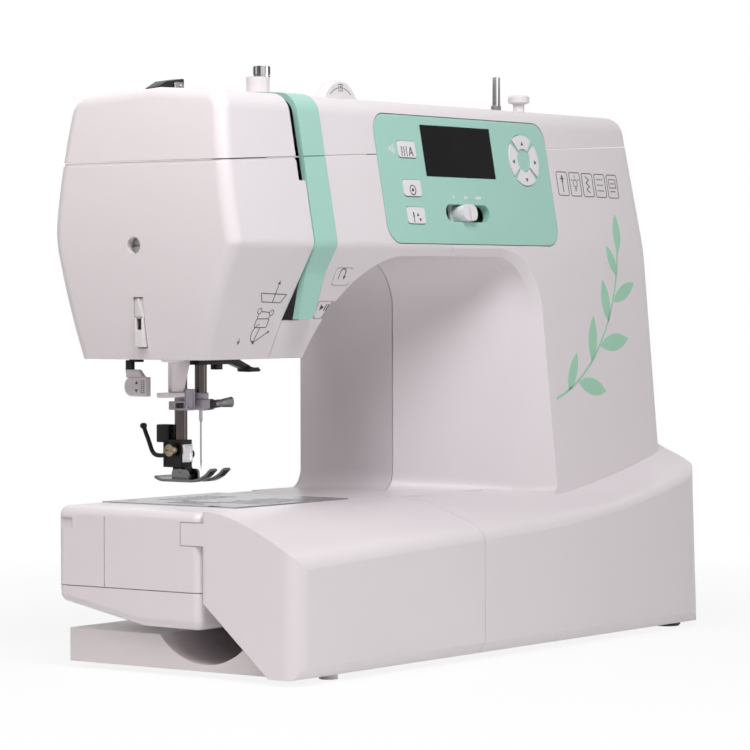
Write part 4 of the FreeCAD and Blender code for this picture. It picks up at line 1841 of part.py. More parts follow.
turned("winder_spindle", [("0", "0"), ("spindle_radius", "0"), ("spindle_radius", SPINDLE_FLANGE),
                          ("spindle_flange", SPINDLE_FLANGE),
                          ("spindle_flange", SPINDLE_FLANGE + " + spindle_flange_height"),
                          ("spindle_radius", SPINDLE_FLANGE + " + spindle_flange_height"),
                          ("spindle_radius", SPINDLE_END + " - spindle_tip"),
                          ("spindle_tip", SPINDLE_END), ("0", SPINDLE_END)],
       ("spindle_x", "spindle_y", "spindle_low"))
STOP_SEAT = "%.2f - stop_low" % flange_z
STOP_END = "top_mid_z + stop_height - stop_low"
turned("winder_stop", [("0", "0"), ("stop_stem", "0"), ("stop_stem", STOP_SEAT), ("stop_neck", STOP_SEAT),
                       ("stop_neck", STOP_SEAT + " + stop_edge"),
                       ("stop_radius", STOP_SEAT + " + stop_edge + stop_bevel"),
                       ("stop_radius", STOP_END + " - stop_bevel"), ("stop_radius - stop_bevel", STOP_END),
                       ("0", STOP_END)],
       ("stop_x", "spindle_y", "stop_low"))
turned("spool_pin", [("0", "0"), ("spool_pin_radius / 2", "0"), ("spool_pin_radius", "spool_pin_radius / 2"),
                     along_x("spool_pin_radius", "spool_collar_x", "spool_pin_left"),
                     along_x("spool_collar", "spool_collar_x", "spool_pin_left"),
                     along_x("spool_collar", "spool_collar_x + spool_collar_width", "spool_pin_left"),
                     along_x("spool_pin_radius", "spool_collar_x + spool_collar_width", "spool_pin_left"),
                     along_x("spool_pin_radius", "spool_pin_right", "spool_pin_left"),
                     along_x("0", "spool_pin_right", "spool_pin_left")],
       ("spool_pin_left", "spool_pin_y", "spool_pin_z"), "x")

guide_ends = (size("guide_x") - size("guide_length") / 2, size("guide_x") + size("guide_length") / 2)
guide_low = size("spool_floor")
guide_high = size("top_mid_z") + size("guide_height")
guide_end_z = size("top_mid_z") + size("guide_low_height")
knee_z = guide_end_z + size("guide_knee_share") * (guide_high - guide_end_z)
guide_side = [(guide_ends[0], guide_low, 0), (guide_ends[0], guide_end_z, 0),
              (guide_ends[0] + size("guide_knee") * size("guide_length"), knee_z, size("guide_round")),
              (guide_ends[0] + size("guide_crest") * size("guide_length"), guide_high, size("guide_round")),
              (guide_ends[1], guide_high, 1), (guide_ends[1], guide_low, 0)]
guide = prism(guide_side, "xz", size("guide_y") - size("guide_depth") / 2,
              size("guide_y") + size("guide_depth") / 2)
seat = outer_form.copy()
seat.translate(Vector(0, 0, size("seat_gap")))
feature("upper_thread_guide", guide.cut(seat))


# Power inlet and rocker switch in the right wall

inlet_back = "right_x - inlet_depth"
socket = block((inlet_back, "inlet_y - inlet_width / 2 + fit", "inlet_z - inlet_height / 2 + fit"),
               ("inlet_depth", "inlet_width - 2 * fit", "inlet_height - 2 * fit"))
mouth = block((inlet_back + " + inlet_rim", "inlet_y - inlet_width / 2 + inlet_rim",
               "inlet_z - inlet_height / 2 + inlet_rim"),
              ("inlet_depth", "inlet_width - 2 * inlet_rim", "inlet_height - 2 * inlet_rim"))
contacts = [rod((inlet_back + " + inlet_rim / 2", y_text, "inlet_z"), "inlet_pin", "inlet_depth * 0.7", "x")
            for y_text in ("inlet_y - inlet_pin_half", "inlet_y + inlet_pin_half")]
node("power_inlet", join(cut(socket, mouth), *contacts))

rocker_mid = Vector(size("rocker_x"), size("inlet_y") - size("switch_width") / 2 + size("fit"),
                    size("switch_z"))
rocker = Part.makeCylinder(size("rocker_radius"), size("switch_width") - 2 * size("fit"), rocker_mid,
                           Vector(0, 1, 0))
ridge_x = right_wall_x(size("switch_z")) + size("rocker_rise")
span = size("switch_height")
rocker_face = [(size("rocker_x") - span / 4, size("switch_z") - span, 0),
               (ridge_x + size("rocker_lean") * span, size("switch_z") - span, 0),
               (ridge_x, size("switch_z"), 0),
               (ridge_x + size("rocker_lean") * span, size("switch_z") + span, 0),
               (size("rocker_x") - span / 4, size("switch_z") + span, 0)]
feature("power_switch", rocker.common(prism(rocker_face, "xz", 0, FAR)))


# Final checks and one file for each sub-part

doc.recompute()
for item in doc.Objects:
    if "Invalid" in item.State or "Error" in item.State:
        raise RuntimeError("object in error: " + item.Label)
labels = set()
for item in nodes:
    if item.Shape.isNull() or not item.Shape.isValid() or not item.Shape.Solids:
        raise RuntimeError("bad shape: " + item.Label)
    if item.Label in labels:
        raise RuntimeError("label used twice: " + item.Label)
    labels.add(item.Label)

os.makedirs("parts", exist_ok=True)
for item in nodes:
    item.Shape.exportStep("parts/%s.step" % item.Label)
print("sub-parts written:", len(nodes))
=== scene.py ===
# %% [markdown]
# A free-arm sewing machine, dressed for its portrait.
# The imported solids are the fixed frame: covers, keys, needle and shafts are already where they belong.
# This lesson gives them their finishes, prints the signs on them and models the small metal pieces
# of the sewing corner in full, so that the part holds up when somebody walks round it.

# %% Frame
import json
import math

import bpy
from mathutils import Matrix, Vector

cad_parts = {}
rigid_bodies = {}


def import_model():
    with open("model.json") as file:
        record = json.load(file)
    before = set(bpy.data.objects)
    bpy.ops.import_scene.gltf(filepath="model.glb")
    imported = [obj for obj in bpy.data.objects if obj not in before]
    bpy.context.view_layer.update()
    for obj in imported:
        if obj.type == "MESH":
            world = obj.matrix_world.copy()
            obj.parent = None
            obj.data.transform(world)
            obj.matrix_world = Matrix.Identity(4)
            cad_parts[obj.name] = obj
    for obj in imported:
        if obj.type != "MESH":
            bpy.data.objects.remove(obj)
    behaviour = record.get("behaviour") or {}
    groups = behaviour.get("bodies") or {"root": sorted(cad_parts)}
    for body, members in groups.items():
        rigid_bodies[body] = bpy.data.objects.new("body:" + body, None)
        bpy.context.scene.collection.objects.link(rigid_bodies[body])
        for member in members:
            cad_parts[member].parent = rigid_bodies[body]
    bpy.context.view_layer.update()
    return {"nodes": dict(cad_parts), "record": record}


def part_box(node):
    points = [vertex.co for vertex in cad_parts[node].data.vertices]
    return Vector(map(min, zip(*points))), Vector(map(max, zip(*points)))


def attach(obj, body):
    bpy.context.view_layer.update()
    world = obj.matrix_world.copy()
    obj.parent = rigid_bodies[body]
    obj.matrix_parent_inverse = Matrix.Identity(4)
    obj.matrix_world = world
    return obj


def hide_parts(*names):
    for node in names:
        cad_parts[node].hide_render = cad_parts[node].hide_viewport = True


for leftover in list(bpy.data.objects):
    bpy.data.objects.remove(leftover)
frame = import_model()
MM = 0.001

# %% [markdown]
# The camera stands low in front of the needle end and looks along the arm, through a long lens,
# so that upright edges stay upright. Its place was worked out from the edges of the casing, and
# the three axes are written as the camera's own right, up and back directions.

# %% Camera
bpy.ops.object.camera_add()
camera = bpy.context.object
camera.name = "portrait_camera"
right = Vector((0.59472, -0.80393, -0.00115))
up = Vector((0.02056, 0.01378, 0.99969))
back = Vector((-0.80367, -0.59457, 0.02472))
stand = Vector((-1.57596, -1.14063, 0.20303))
turned = Matrix((right, up, back)).transposed().to_4x4()
camera.matrix_world = Matrix.Translation(stand) @ turned
camera.data.lens = 162.58
camera.data.sensor_width = 36
bpy.context.scene.camera = camera
print("camera at", [round(v, 3) for v in camera.matrix_world.translation])

# %% [markdown]
# Shader arithmetic reads best as arithmetic. One small class wraps an output socket; adding or
# multiplying two of them lays the Math node. Every other node comes from the one method add().


# %% Wires
class Wire:
    """An output socket of a material, with Python's operators."""

    def __init__(self, tree, socket=None):
        self.tree = tree
        self.socket = socket

    def add(self, kind, settings=None, sockets=None, out=0):
        """Lay a node: its settings first, then the values or wires of its sockets."""
        node = self.tree.nodes.new(kind)
        for name, value in (settings or {}).items():
            if name == "stops":
                for element, (place, colour) in zip(node.color_ramp.elements, value):
                    element.position = place
                    element.color = colour
            else:
                setattr(node, name, value)
        for name, value in (sockets or {}).items():
            if isinstance(value, Wire):
                self.tree.links.new(value.socket, node.inputs[name])
            else:
                node.inputs[name].default_value = value
        return Wire(self.tree, node.outputs[out])

    def math(self, operation, first, second):
        return self.add("ShaderNodeMath", {"operation": operation}, {0: first, 1: second})

    def __add__(self, other):
        return self.math("ADD", self, other)

    def __sub__(self, other):
        return self.math("SUBTRACT", self, other)

    def __rsub__(self, other):
        return self.math("SUBTRACT", other, self)

    def __mul__(self, other):
        return self.math("MULTIPLY", self, other)

    __radd__ = __add__
    __rmul__ = __mul__

    def mix(self, low, high):
        """A colour between two, with this wire as the share of the second."""
        return self.add("ShaderNodeMix", {"data_type": "RGBA"}, {0: self, 6: low, 7: high}, 2)

    def noise(self, scale, detail=2.0, roughness=0.5):
        return self.add("ShaderNodeTexNoise", {}, {"Vector": self, "Scale": scale, "Detail": detail,
                                                   "Roughness": roughness})

    def bump(self, height, strength, deep):
        """This normal, bumped by a height that is a number of millimetres deep."""
        return self.add("ShaderNodeBump", {}, {"Height": height, "Strength": strength,
                                               "Distance": deep * MM, "Normal": self})

    def stretched(self, scale):
        return self.add("ShaderNodeMapping", {}, {"Vector": self, "Scale": scale})


def start_finish(name):
    """A new material: its shader node and a wire that carries the piece's own coordinates."""
    material = bpy.data.materials.new(name)
    material.use_nodes = True
    tree = material.node_tree
    places = Wire(tree).add("ShaderNodeTexCoord", out=3)
    return material, tree.nodes["Principled BSDF"], places


def feed(shader, name, value):
    """Put a number, a colour or a wire on a socket of the shader."""
    if isinstance(value, Wire):
        value.tree.links.new(value.socket, shader.inputs[name])
    else:
        shader.inputs[name].default_value = value


def shade(colour, factor):
    return tuple(c * factor for c in colour[:3]) + (1.0,)


# %% [markdown]
# Most of the machine is moulded plastic. A moulding is never one flat colour: the melt leaves faint
# clouds, the polished mould leaves a slow waviness that bends the highlights, and a very fine grain
# spreads them. The Bevel node rounds the light over sharp CAD edges as the mould's own radius does.


# %% Moulded plastic
CLOUDS, SMEARS, WAVES, GRAIN = 9.0, 60.0, 34.0, 1900.0  # how many to the metre
WAVE_DEEP, GRAIN_DEEP = 0.4, 0.05  # millimetres
PLASTIC_IOR = 1.5
BEVEL_RAYS = 4


def moulded(name, colour, rough, grain, wave, edge=0.5, shine=0.5):
    material, shader, places = start_finish(name)
    clouds = places.noise(CLOUDS, 3.0)
    feed(shader, "Base Color", clouds.mix(shade(colour, 0.975), shade(colour, 1.02)))
    fine = places.noise(GRAIN, 2.0)
    slow = places.noise(WAVES, 1.0)
    smears = places.noise(SMEARS, 4.0)
    feed(shader, "Roughness", rough + 0.10 * (smears - 0.5) + 0.05 * (fine - 0.5))
    rounded = places.add("ShaderNodeBevel", {"samples": BEVEL_RAYS}, {"Radius": edge * MM})
    waved = rounded.bump(slow, wave, WAVE_DEEP)
    feed(shader, "Normal", waved.bump(fine, grain, GRAIN_DEEP))
    shader.inputs["IOR"].default_value = PLASTIC_IOR
    shader.inputs["Specular IOR Level"].default_value = shine
    return material


finishes = {
    "body_white": moulded("glossy_white_cover", (0.80, 0.745, 0.765), 0.32, 0.12, 0.05),
    "tray_white": moulded("satin_white_tray", (0.78, 0.725, 0.735), 0.38, 0.25, 0.05),
    "mint_plastic": moulded("mint_moulding", (0.375, 0.650, 0.560), 0.36, 0.20, 0.04),
    "key_white": moulded("white_key_cap", (0.82, 0.80, 0.82), 0.34, 0.20, 0.03, 0.4),
    "dial_white": moulded("white_turned_dial", (0.82, 0.79, 0.80), 0.32, 0.15, 0.03, 0.4),
    "black_plastic": moulded("black_moulding", (0.010, 0.0095, 0.011), 0.34, 0.35, 0.04, 0.3, 0.2),
    "cutter_grey": moulded("white_cutter_housing", (0.76, 0.72, 0.73), 0.36, 0.2, 0.03, 0.3),
    "rubber_pad": moulded("dark_rubber", (0.05, 0.05, 0.052), 0.72, 0.9, 0.10, 0.4),
    "motor_shell": moulded("painted_motor_can", (0.10, 0.10, 0.11), 0.45, 0.4, 0.05, 0.4),
    "belt_rubber": moulded("black_belt", (0.018, 0.018, 0.018), 0.66, 0.8, 0.05, 0.2),
    "lamp_white": moulded("milky_lamp", (0.88, 0.88, 0.86), 0.30, 0.1, 0.02, 0.3),
}
print("plastic finishes:", len(finishes))

# %% [markdown]
# The metals differ: brushed steel on the needle plate; on the bars and the foot a steel whose dark base
# colour is a painted dark reflection; dark steel on the clamp screw and the prongs, where the thumb
# piece's dark is a painted reflection too; bright nickel on small plates and a warm brass screw.
# Brushing is
# noise stretched along one axis: it goes into the roughness and, as scratches, into the bump.


# %% Metals
PATCHES = 120.0  # to the metre
SCRATCH_DEEP = 0.02  # millimetres


def metal(name, colour, rough, stretch, scratch, edge=0.25):
    material, shader, places = start_finish(name)
    lines = places.stretched(stretch).noise(1.0, 4.0, 0.6)
    patches = places.noise(PATCHES, 3.0)
    feed(shader, "Base Color", patches.mix(shade(colour, 0.90), shade(colour, 1.06)))
    shader.inputs["Metallic"].default_value = 1.0
    feed(shader, "Roughness", rough + 0.14 * (lines - 0.5) + 0.08 * (patches - 0.5))
    rounded = places.add("ShaderNodeBevel", {"samples": BEVEL_RAYS}, {"Radius": edge * MM})
    feed(shader, "Normal", rounded.bump(lines, scratch, SCRATCH_DEEP))
    return material


finishes["brushed_steel"] = metal("brushed_plate_steel", (0.36, 0.35, 0.38), 0.28,
                                  (60, 2600, 400), 0.35)
finishes["chrome"] = metal("bright_nickel", (0.34, 0.325, 0.325), 0.13, (300, 300, 60), 0.10)
finishes["screw_steel"] = metal("browned_screw_steel", (0.34, 0.34, 0.33), 0.38, (900, 900, 900), 0.3)
finishes["cast_metal"] = metal("cast_alloy", (0.46, 0.46, 0.47), 0.52, (260, 260, 260), 0.8)
# Painted dark reflection: the bars' base colour is darkened to stand for the dark surroundings they
# mirror.
bar_steel_painted_dark = metal("bar_steel_painted_dark_reflection", (0.085, 0.072, 0.068), 0.24, (700, 700, 40), 0.2)
# Painted dark reflection and shade: the foot's base colour is darkened for its mirrored surroundings and
# its shaded underside.
foot_steel_painted_dark = metal("foot_steel_painted_dark_reflection", (0.16, 0.155, 0.16), 0.20, (300, 300, 60), 0.10)
bright_plate = metal("bright_plate_nickel", (0.62, 0.60, 0.62), 0.20, (300, 300, 60), 0.10)
# On the clamp screw's thumb piece this dark base colour is a painted dark reflection; the prongs share
# it.
dark_steel = metal("dark_prong_steel", (0.20, 0.19, 0.20), 0.25, (700, 700, 60), 0.2)
brass = metal("warm_brass", (0.30, 0.24, 0.17), 0.26, (500, 500, 500), 0.25)


def painted_flute_reflection_finish():
    """Turned metal whose base colour has dark and bright upright stripes painted in: painted reflections
    of its flutes.
    """
    material, shader, places = start_finish("nickel_with_painted_flute_reflections")
    flute_reflections = places.stretched((420, 420, 8)).noise(1.0, 1.0)
    stops = [(0.40, (0.04, 0.038, 0.04, 1)), (0.60, (0.62, 0.60, 0.60, 1))]
    feed(shader, "Base Color", flute_reflections.add("ShaderNodeValToRGB", {"stops": stops}, {"Fac": flute_reflections}))
    shader.inputs["Metallic"].default_value = 1.0
    feed(shader, "Roughness", 0.16 + 0.12 * places.noise(300.0, 3.0))
    return material


# The guide cap's finish: stripes of painted reflection in its base colour, standing for the flutes.
flute_reflection_nickel = painted_flute_reflection_finish()
own_metals = (bar_steel_painted_dark, foot_steel_painted_dark, bright_plate, dark_steel, brass, flute_reflection_nickel)
print("metals:", [finish.name for finish in own_metals])


# %% [markdown]
# The display is a dark pane behind clear acrylic: nearly black, with a faint haze. The acrylic is
# coated against reflections, so its specular level is set low. The bobbin is clear plastic, and the
# board inside is green with faint tracks.


# %% Glass, clear plastic and board
def display_finish():
    material, shader, places = start_finish("display_pane")
    haze = places.noise(45.0, 3.0)
    feed(shader, "Base Color", haze.mix((0.005, 0.0045, 0.005, 1), (0.009, 0.0085, 0.009, 1)))
    feed(shader, "Roughness", 0.06 + 0.05 * places.noise(300.0, 2.0))
    shader.inputs["Specular IOR Level"].default_value = 0.05
    return material


def clear_finish():
    material, shader, places = start_finish("clear_bobbin_plastic")
    feed(shader, "Base Color", places.noise(80.0).mix((0.86, 0.88, 0.89, 1), (0.93, 0.94, 0.95, 1)))
    feed(shader, "Roughness", 0.12 + 0.08 * places.noise(500.0))
    shader.inputs["Transmission Weight"].default_value = 0.8
    shader.inputs["IOR"].default_value = 1.49
    return material


def board_finish():
    material, shader, places = start_finish("solder_resist_green")
    tracks = places.add("ShaderNodeTexBrick", {}, {
        "Vector": places, "Scale": 260.0, "Mortar": (0.06, 0.22, 0.10, 1), "Mortar Size": 0.06,
        "Color1": (0.02, 0.13, 0.06, 1), "Color2": (0.03, 0.16, 0.07, 1)})
    feed(shader, "Base Color", tracks)
    feed(shader, "Roughness", 0.35 + 0.1 * places.noise(200.0))
    return material


finishes["display_black"] = display_finish()
finishes["clear_bobbin"] = clear_finish()
finishes["board_green"] = board_finish()
node_slots = {row["node"]: row["material_slot"] for row in frame["record"]["subparts"]}
# Painted dark reflection on the bars, painted flute reflections on the guide cap.
own_finishes = {"presser_bar": bar_steel_painted_dark, "needle_bar": bar_steel_painted_dark, "winder_guide_cap": flute_reflection_nickel}
for name, solid in frame["nodes"].items():
    solid.data.materials.clear()
    solid.data.materials.append(own_finishes.get(name) or finishes[node_slots[name]])
print("finished solids:", len(node_slots))

# %% [markdown]
# The studio is a white table in a white room. The camera, mirrors and glass see plain white, while
# the light that falls on the machine comes from a weaker room and four soft lamps: a cool one over
# the front, a low one far in front, a warm one at the needle end and a faint one behind. The table
# keeps a little shadow.

# %% Studio
WHITE = (1, 1, 1, 1)
ROOM_LIGHT = (0.04, 0.04, 0.041, 1)


def light_paths(tree, *kinds):
    """One wire for each kind of ray."""
    paths = Wire(tree).add("ShaderNodeLightPath").socket.node
    return [Wire(tree, paths.outputs[kind]) for kind in kinds]


scene = bpy.context.scene
scene.view_settings.view_transform = "Standard"
world = bpy.data.worlds.new("white_room")
scene.world = world
world.use_nodes = True
camera_ray, glossy_ray, clear_ray = light_paths(
    world.node_tree, "Is Camera Ray", "Is Glossy Ray", "Is Transmission Ray")
share = camera_ray.math("MAXIMUM", camera_ray, clear_ray)
share = share.math("MAXIMUM", share, glossy_ray)
backdrop = world.node_tree.nodes["Background"]
feed(backdrop, "Color", share.mix(ROOM_LIGHT, WHITE))
backdrop.inputs["Strength"].default_value = 1.0


def softbox(name, place, aim, wide, tall, power, colour):
    bpy.ops.object.light_add(type="AREA", location=place)
    lamp = bpy.context.object
    lamp.name = name
    lamp.rotation_euler = (Vector(place) - Vector(aim)).to_track_quat("Z", "Y").to_euler()
    lamp.data.shape = "RECTANGLE"
    lamp.data.size = wide
    lamp.data.size_y = tall
    lamp.data.energy = power
    lamp.data.color = colour


softbox("front_softbox", (-0.50, -0.50, 0.95), (-0.1, 0, 0.2), 0.5, 0.5, 8.1, (0.98, 0.98, 1.0))
softbox("low_front_softbox", (1.0, -2.6, 0.3), (-0.05, 0, 0.2), 1.2, 1.2, 12.5, (1.0, 0.985, 0.985))
softbox("needle_end_softbox", (-0.95, 0.1, 1.05), (-0.18, 0, 0.27), 0.5, 0.5, 5.2, (1.0, 0.95, 0.91))
softbox("back_softbox", (0.6, 1.5, 1.2), (0, 0, 0.2), 1.0, 1.0, 1.5, (1.0, 1.0, 1.0))

bpy.ops.mesh.primitive_plane_add(size=14, location=(0, 0, 0))
floor = bpy.context.object
floor.name = "table"
table = bpy.data.materials.new("white_table")
table.use_nodes = True
tree = table.node_tree
camera_ray, glossy_ray = light_paths(tree, "Is Camera Ray", "Is Glossy Ray")
distance = Wire(tree).add("ShaderNodeVectorMath", {"operation": "LENGTH"},
                          {0: Wire(tree).add("ShaderNodeTexCoord", out=3)}, 1)
whiteness = distance.add("ShaderNodeMapRange", {}, {
    "Value": distance, "From Min": 0.2, "From Max": 0.7, "To Min": 0.88, "To Max": 1.0})
share = whiteness * camera_ray.math("MAXIMUM", camera_ray, glossy_ray)
plain = Wire(tree).add("ShaderNodeBsdfDiffuse", {}, {"Color": (0.94, 0.94, 0.94, 1)})
glow = Wire(tree).add("ShaderNodeEmission", {}, {"Color": WHITE, "Strength": 1.0})
both = Wire(tree).add("ShaderNodeMixShader", {}, {0: share, 1: plain, 2: glow})
tree.links.new(both.socket, tree.nodes["Material Output"].inputs["Surface"])
floor.data.materials.append(table)

# %% [markdown]
# From here on pieces are modelled by hand. A handful of helpers stand for the hand's own moves: put
# down a cube or a bar, pick faces or edges by where they lie, soften the edges, join what belongs
# together and let it ride on the body that carries it. Lengths in these calls are millimetres.


# %% Hands
X, Y, Z = 0, 1, 2
TO_LEFT, TO_RIGHT, TO_FRONT = (-1, 0, 0), (1, 0, 0), (0, -1, 0)
TO_TOP, TO_FLOOR = (0, 0, 1), (0, 0, -1)
FACING = 0.9  # the least cosine between a direction and one that counts as the same
CREASE = math.radians(35)


def mm(*lengths):
    """Millimetres to the metres of the frame."""
    return tuple(length * MM for length in lengths)


def fresh():
    """Object mode, with nothing selected."""
    if bpy.context.mode != "OBJECT":
        bpy.ops.object.mode_set(mode="OBJECT")
    bpy.ops.object.select_all(action="DESELECT")


def hold(piece):
    """Object mode, with one piece selected and active."""
    fresh()
    bpy.context.view_layer.objects.active = piece
    piece.select_set(True)


def edit_all():
    """Edit mode, with all of the held piece selected."""
    bpy.ops.object.mode_set(mode="EDIT")
    bpy.ops.mesh.select_mode(type="VERT")
    bpy.ops.mesh.select_all(action="SELECT")


def settle():
    """Put the place, turn and size of the newest object into its mesh."""
    bpy.ops.object.transform_apply(location=True, rotation=True, scale=True)
    return bpy.context.object


def block(low, high):
    """A cube between two corners."""
    fresh()
    low, high = Vector(low) * MM, Vector(high) * MM
    bpy.ops.mesh.primitive_cube_add(size=1, location=(low + high) / 2)
    bpy.context.object.scale = high - low
    return settle()


def rod(start, end, radius, sides=32):
    """A round or many-sided bar from one point to another."""
    fresh()
    start, end = Vector(start) * MM, Vector(end) * MM
    run = end - start
    bpy.ops.mesh.primitive_cylinder_add(vertices=sides, radius=radius * MM, depth=run.length,
                                        location=(start + end) / 2,
                                        rotation=run.to_track_quat("Z", "Y").to_euler())
    return settle()


def pick(piece, kind, test):
    """Edit mode with those faces, edges or points selected whose middle passes the test."""
    hold(piece)
    bpy.ops.object.mode_set(mode="EDIT")
    bpy.ops.mesh.select_mode(type=kind)
    bpy.ops.mesh.select_all(action="DESELECT")
    bpy.ops.object.mode_set(mode="OBJECT")
    mesh = piece.data
    if kind == "FACE":
        for face in mesh.polygons:
            face.select = test(face.center / MM, face.normal)
    elif kind == "EDGE":
        for edge in mesh.edges:
            first, last = (mesh.vertices[i].co for i in edge.vertices)
            edge.select = test((first + last) / (2 * MM), (last - first).normalized())
    else:
        for point in mesh.vertices:
            point.select = test(point.co / MM, point.normal)
    bpy.ops.object.mode_set(mode="EDIT")


def faces(piece, outward):
    """Select the faces that look one way."""
    pick(piece, "FACE", lambda place, out: out.dot(Vector(outward)) > FACING)


def shift(x, y, z):
    """Move what is selected."""
    bpy.ops.transform.translate(value=mm(x, y, z))


def push(x, y, z):
    """Extrude what is selected."""
    bpy.ops.mesh.extrude_region_move(TRANSFORM_OT_translate={"value": mm(x, y, z)})


def recess(piece, outward, rim, deep):
    """Leave a rim round the faces that look one way, and push the rest of them in."""
    faces(piece, outward)
    bpy.ops.mesh.inset(thickness=rim * MM)
    push(*(-deep * part for part in outward))


def round_edges(piece, axis, radius, segments, where=lambda place: True):
    """Bevel the edges along one axis whose middle passes the test."""
    pick(piece, "EDGE", lambda place, along: abs(along[axis]) > FACING and where(place))
    bpy.ops.mesh.bevel(offset=radius * MM, segments=segments, affect="EDGES")


def modify(piece, kind, **settings):
    """Put a modifier on the held piece and apply it."""
    modifier = piece.modifiers.new(kind.lower(), kind)
    for name, value in settings.items():
        setattr(modifier, name, value)
    bpy.ops.object.modifier_apply(modifier=modifier.name)


def soften(piece, width, segments=3):
    """Round the sharp edges and smooth the faces."""
    hold(piece)
    modify(piece, "BEVEL", width=width * MM, segments=segments, limit_method="ANGLE")
    bpy.ops.object.shade_smooth_by_angle(angle=CREASE)
    return piece


def join(parts):
    """Make one piece of several."""
    hold(parts[0])
    for part in parts:
        part.select_set(True)
    if len(parts) > 1:
        bpy.ops.object.join()
    return bpy.context.object


def together(name, parts, body, slot, finish=None, stands_for=()):
    """Join the parts of one piece, finish it and let it ride on its body."""
    piece = join(parts)
    piece.name = name
    piece.data.name = name
    piece.data.materials.clear()
    piece.data.materials.append(finish or finishes[slot])
    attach(piece, body)
    if stands_for:
        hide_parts(*stands_for)
    print(name, "-", len(piece.data.polygons), "faces on", body)
    return piece


def corners(node):
    """The box of a solid, in millimetres."""
    low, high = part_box(node)
    return Vector(low) / MM, Vector(high) / MM


# %% [markdown]
# The signs are printed. Each one is drawn flat, in millimetres, from bars, rings, discs and rounded
# boxes, and then laid on its face: a ray is sent at the solid, and the print takes its place and tilt
# from the face that the ray meets. A print on a curved cover is cut into rows and thrown at the cover
# from in front. A tenth of a millimetre of thickness keeps it clear of the plastic.


# %% Ink
def ink(name, colour):
    material, shader, places = start_finish(name)
    patches = places.noise(700.0, 3.0)
    feed(shader, "Base Color", patches.mix(shade(colour, 0.88), shade(colour, 1.1)))
    feed(shader, "Roughness", 0.42 + 0.16 * (places.noise(2400.0) - 0.5))
    return material


navy_ink = ink("navy_ink", (0.030, 0.028, 0.055))
grey_ink = ink("grey_ink", (0.075, 0.070, 0.085))
white_ink = ink("white_ink", (0.80, 0.82, 0.81))
mint_ink = ink("mint_ink", (0.36, 0.66, 0.47))


def bar(start, end, width):
    """A straight stroke."""
    fresh()
    start, end = Vector(start), Vector(end)
    run = end - start
    bpy.ops.mesh.primitive_plane_add(size=1, location=((start + end) / 2).to_3d(),
                                     rotation=(0, 0, math.atan2(run.y, run.x)))
    bpy.context.object.scale = (run.length, width, 1)
    return settle()


def disc(middle, radius, sides=32, turn=0.0):
    """A disc, or a shape with few equal sides."""
    fresh()
    bpy.ops.mesh.primitive_circle_add(vertices=sides, radius=radius, fill_type="NGON",
                                      location=(middle[0], middle[1], 0),
                                      rotation=(0, 0, math.radians(turn)))
    return settle()


def arrow(middle, radius, turn):
    """An arrowhead."""
    return disc(middle, radius, 3, turn)


def ring(middle, outer, inner, start=0.0, sweep=360.0):
    """A flat ring, or the part of one that starts at an angle and sweeps on from there."""
    fresh()
    bpy.ops.mesh.primitive_circle_add(vertices=72, radius=outer)
    piece = bpy.context.object
    edit_all()
    bpy.ops.mesh.extrude_region_move()
    bpy.ops.transform.resize(value=(inner / outer, inner / outer, 1))

    def beyond(place, out):
        return (math.degrees(math.atan2(place.y, place.x)) - start) % 360 > sweep

    pick(piece, "FACE", beyond)
    bpy.ops.mesh.delete(type="FACE")
    hold(piece)
    piece.location = (middle[0], middle[1], 0)
    return settle()


def rounded_box(middle, wide, tall, corner, line=0.0):
    """A box with round corners: filled, or only its outline."""
    fresh()
    bpy.ops.mesh.primitive_plane_add(size=1, location=(middle[0], middle[1], 0))
    bpy.context.object.scale = (wide, tall, 1)
    piece = settle()
    edit_all()
    bpy.ops.mesh.bevel(affect="VERTICES", offset=corner, segments=5)
    if line:
        edit_all()
        bpy.ops.mesh.inset(thickness=line)
        bpy.ops.mesh.delete(type="FACE")
    fresh()
    return piece


def numeral(text, middle, height):
    fresh()
    bpy.ops.object.text_add(location=(middle[0], middle[1], 0))
    piece = bpy.context.object
    piece.data.body = text
    piece.data.size = height
    piece.data.align_x = "CENTER"
    piece.data.align_y = "CENTER"
    bpy.ops.object.convert(target="MESH")
    return settle()


def on_face(node, start, toward, across):
    """The place and tilt of the face that a ray meets: across, up and out."""
    met, place, out, _ = frame["nodes"][node].ray_cast(Vector(start) * MM, Vector(toward))
    assert met, node
    across = Vector(across)
    across = (across - out * out.dot(across)).normalized()
    turn = Matrix((across, out.cross(across), out)).transposed().to_4x4()
    return Matrix.Translation(place) @ turn @ Matrix.Scale(MM, 4)


INK_THICK, INK_LIFT = 0.12, 0.05
PRINT_ROW = 4  # the height of a row of a curved print
PRINT_REACH = 40  # how far in front of its cover a curved print starts
RAY_START_Y = -120


def wrap(piece, node, lift):
    """Let a flat print follow the curved front of a solid, which it is thrown at from in front."""
    piece.data.transform(Matrix.Translation((0, -PRINT_REACH * MM, 0)))
    modify(piece, "SHRINKWRAP", target=frame["nodes"][node], wrap_method="PROJECT", use_project_y=True,
           wrap_mode="ABOVE_SURFACE", offset=lift * MM)


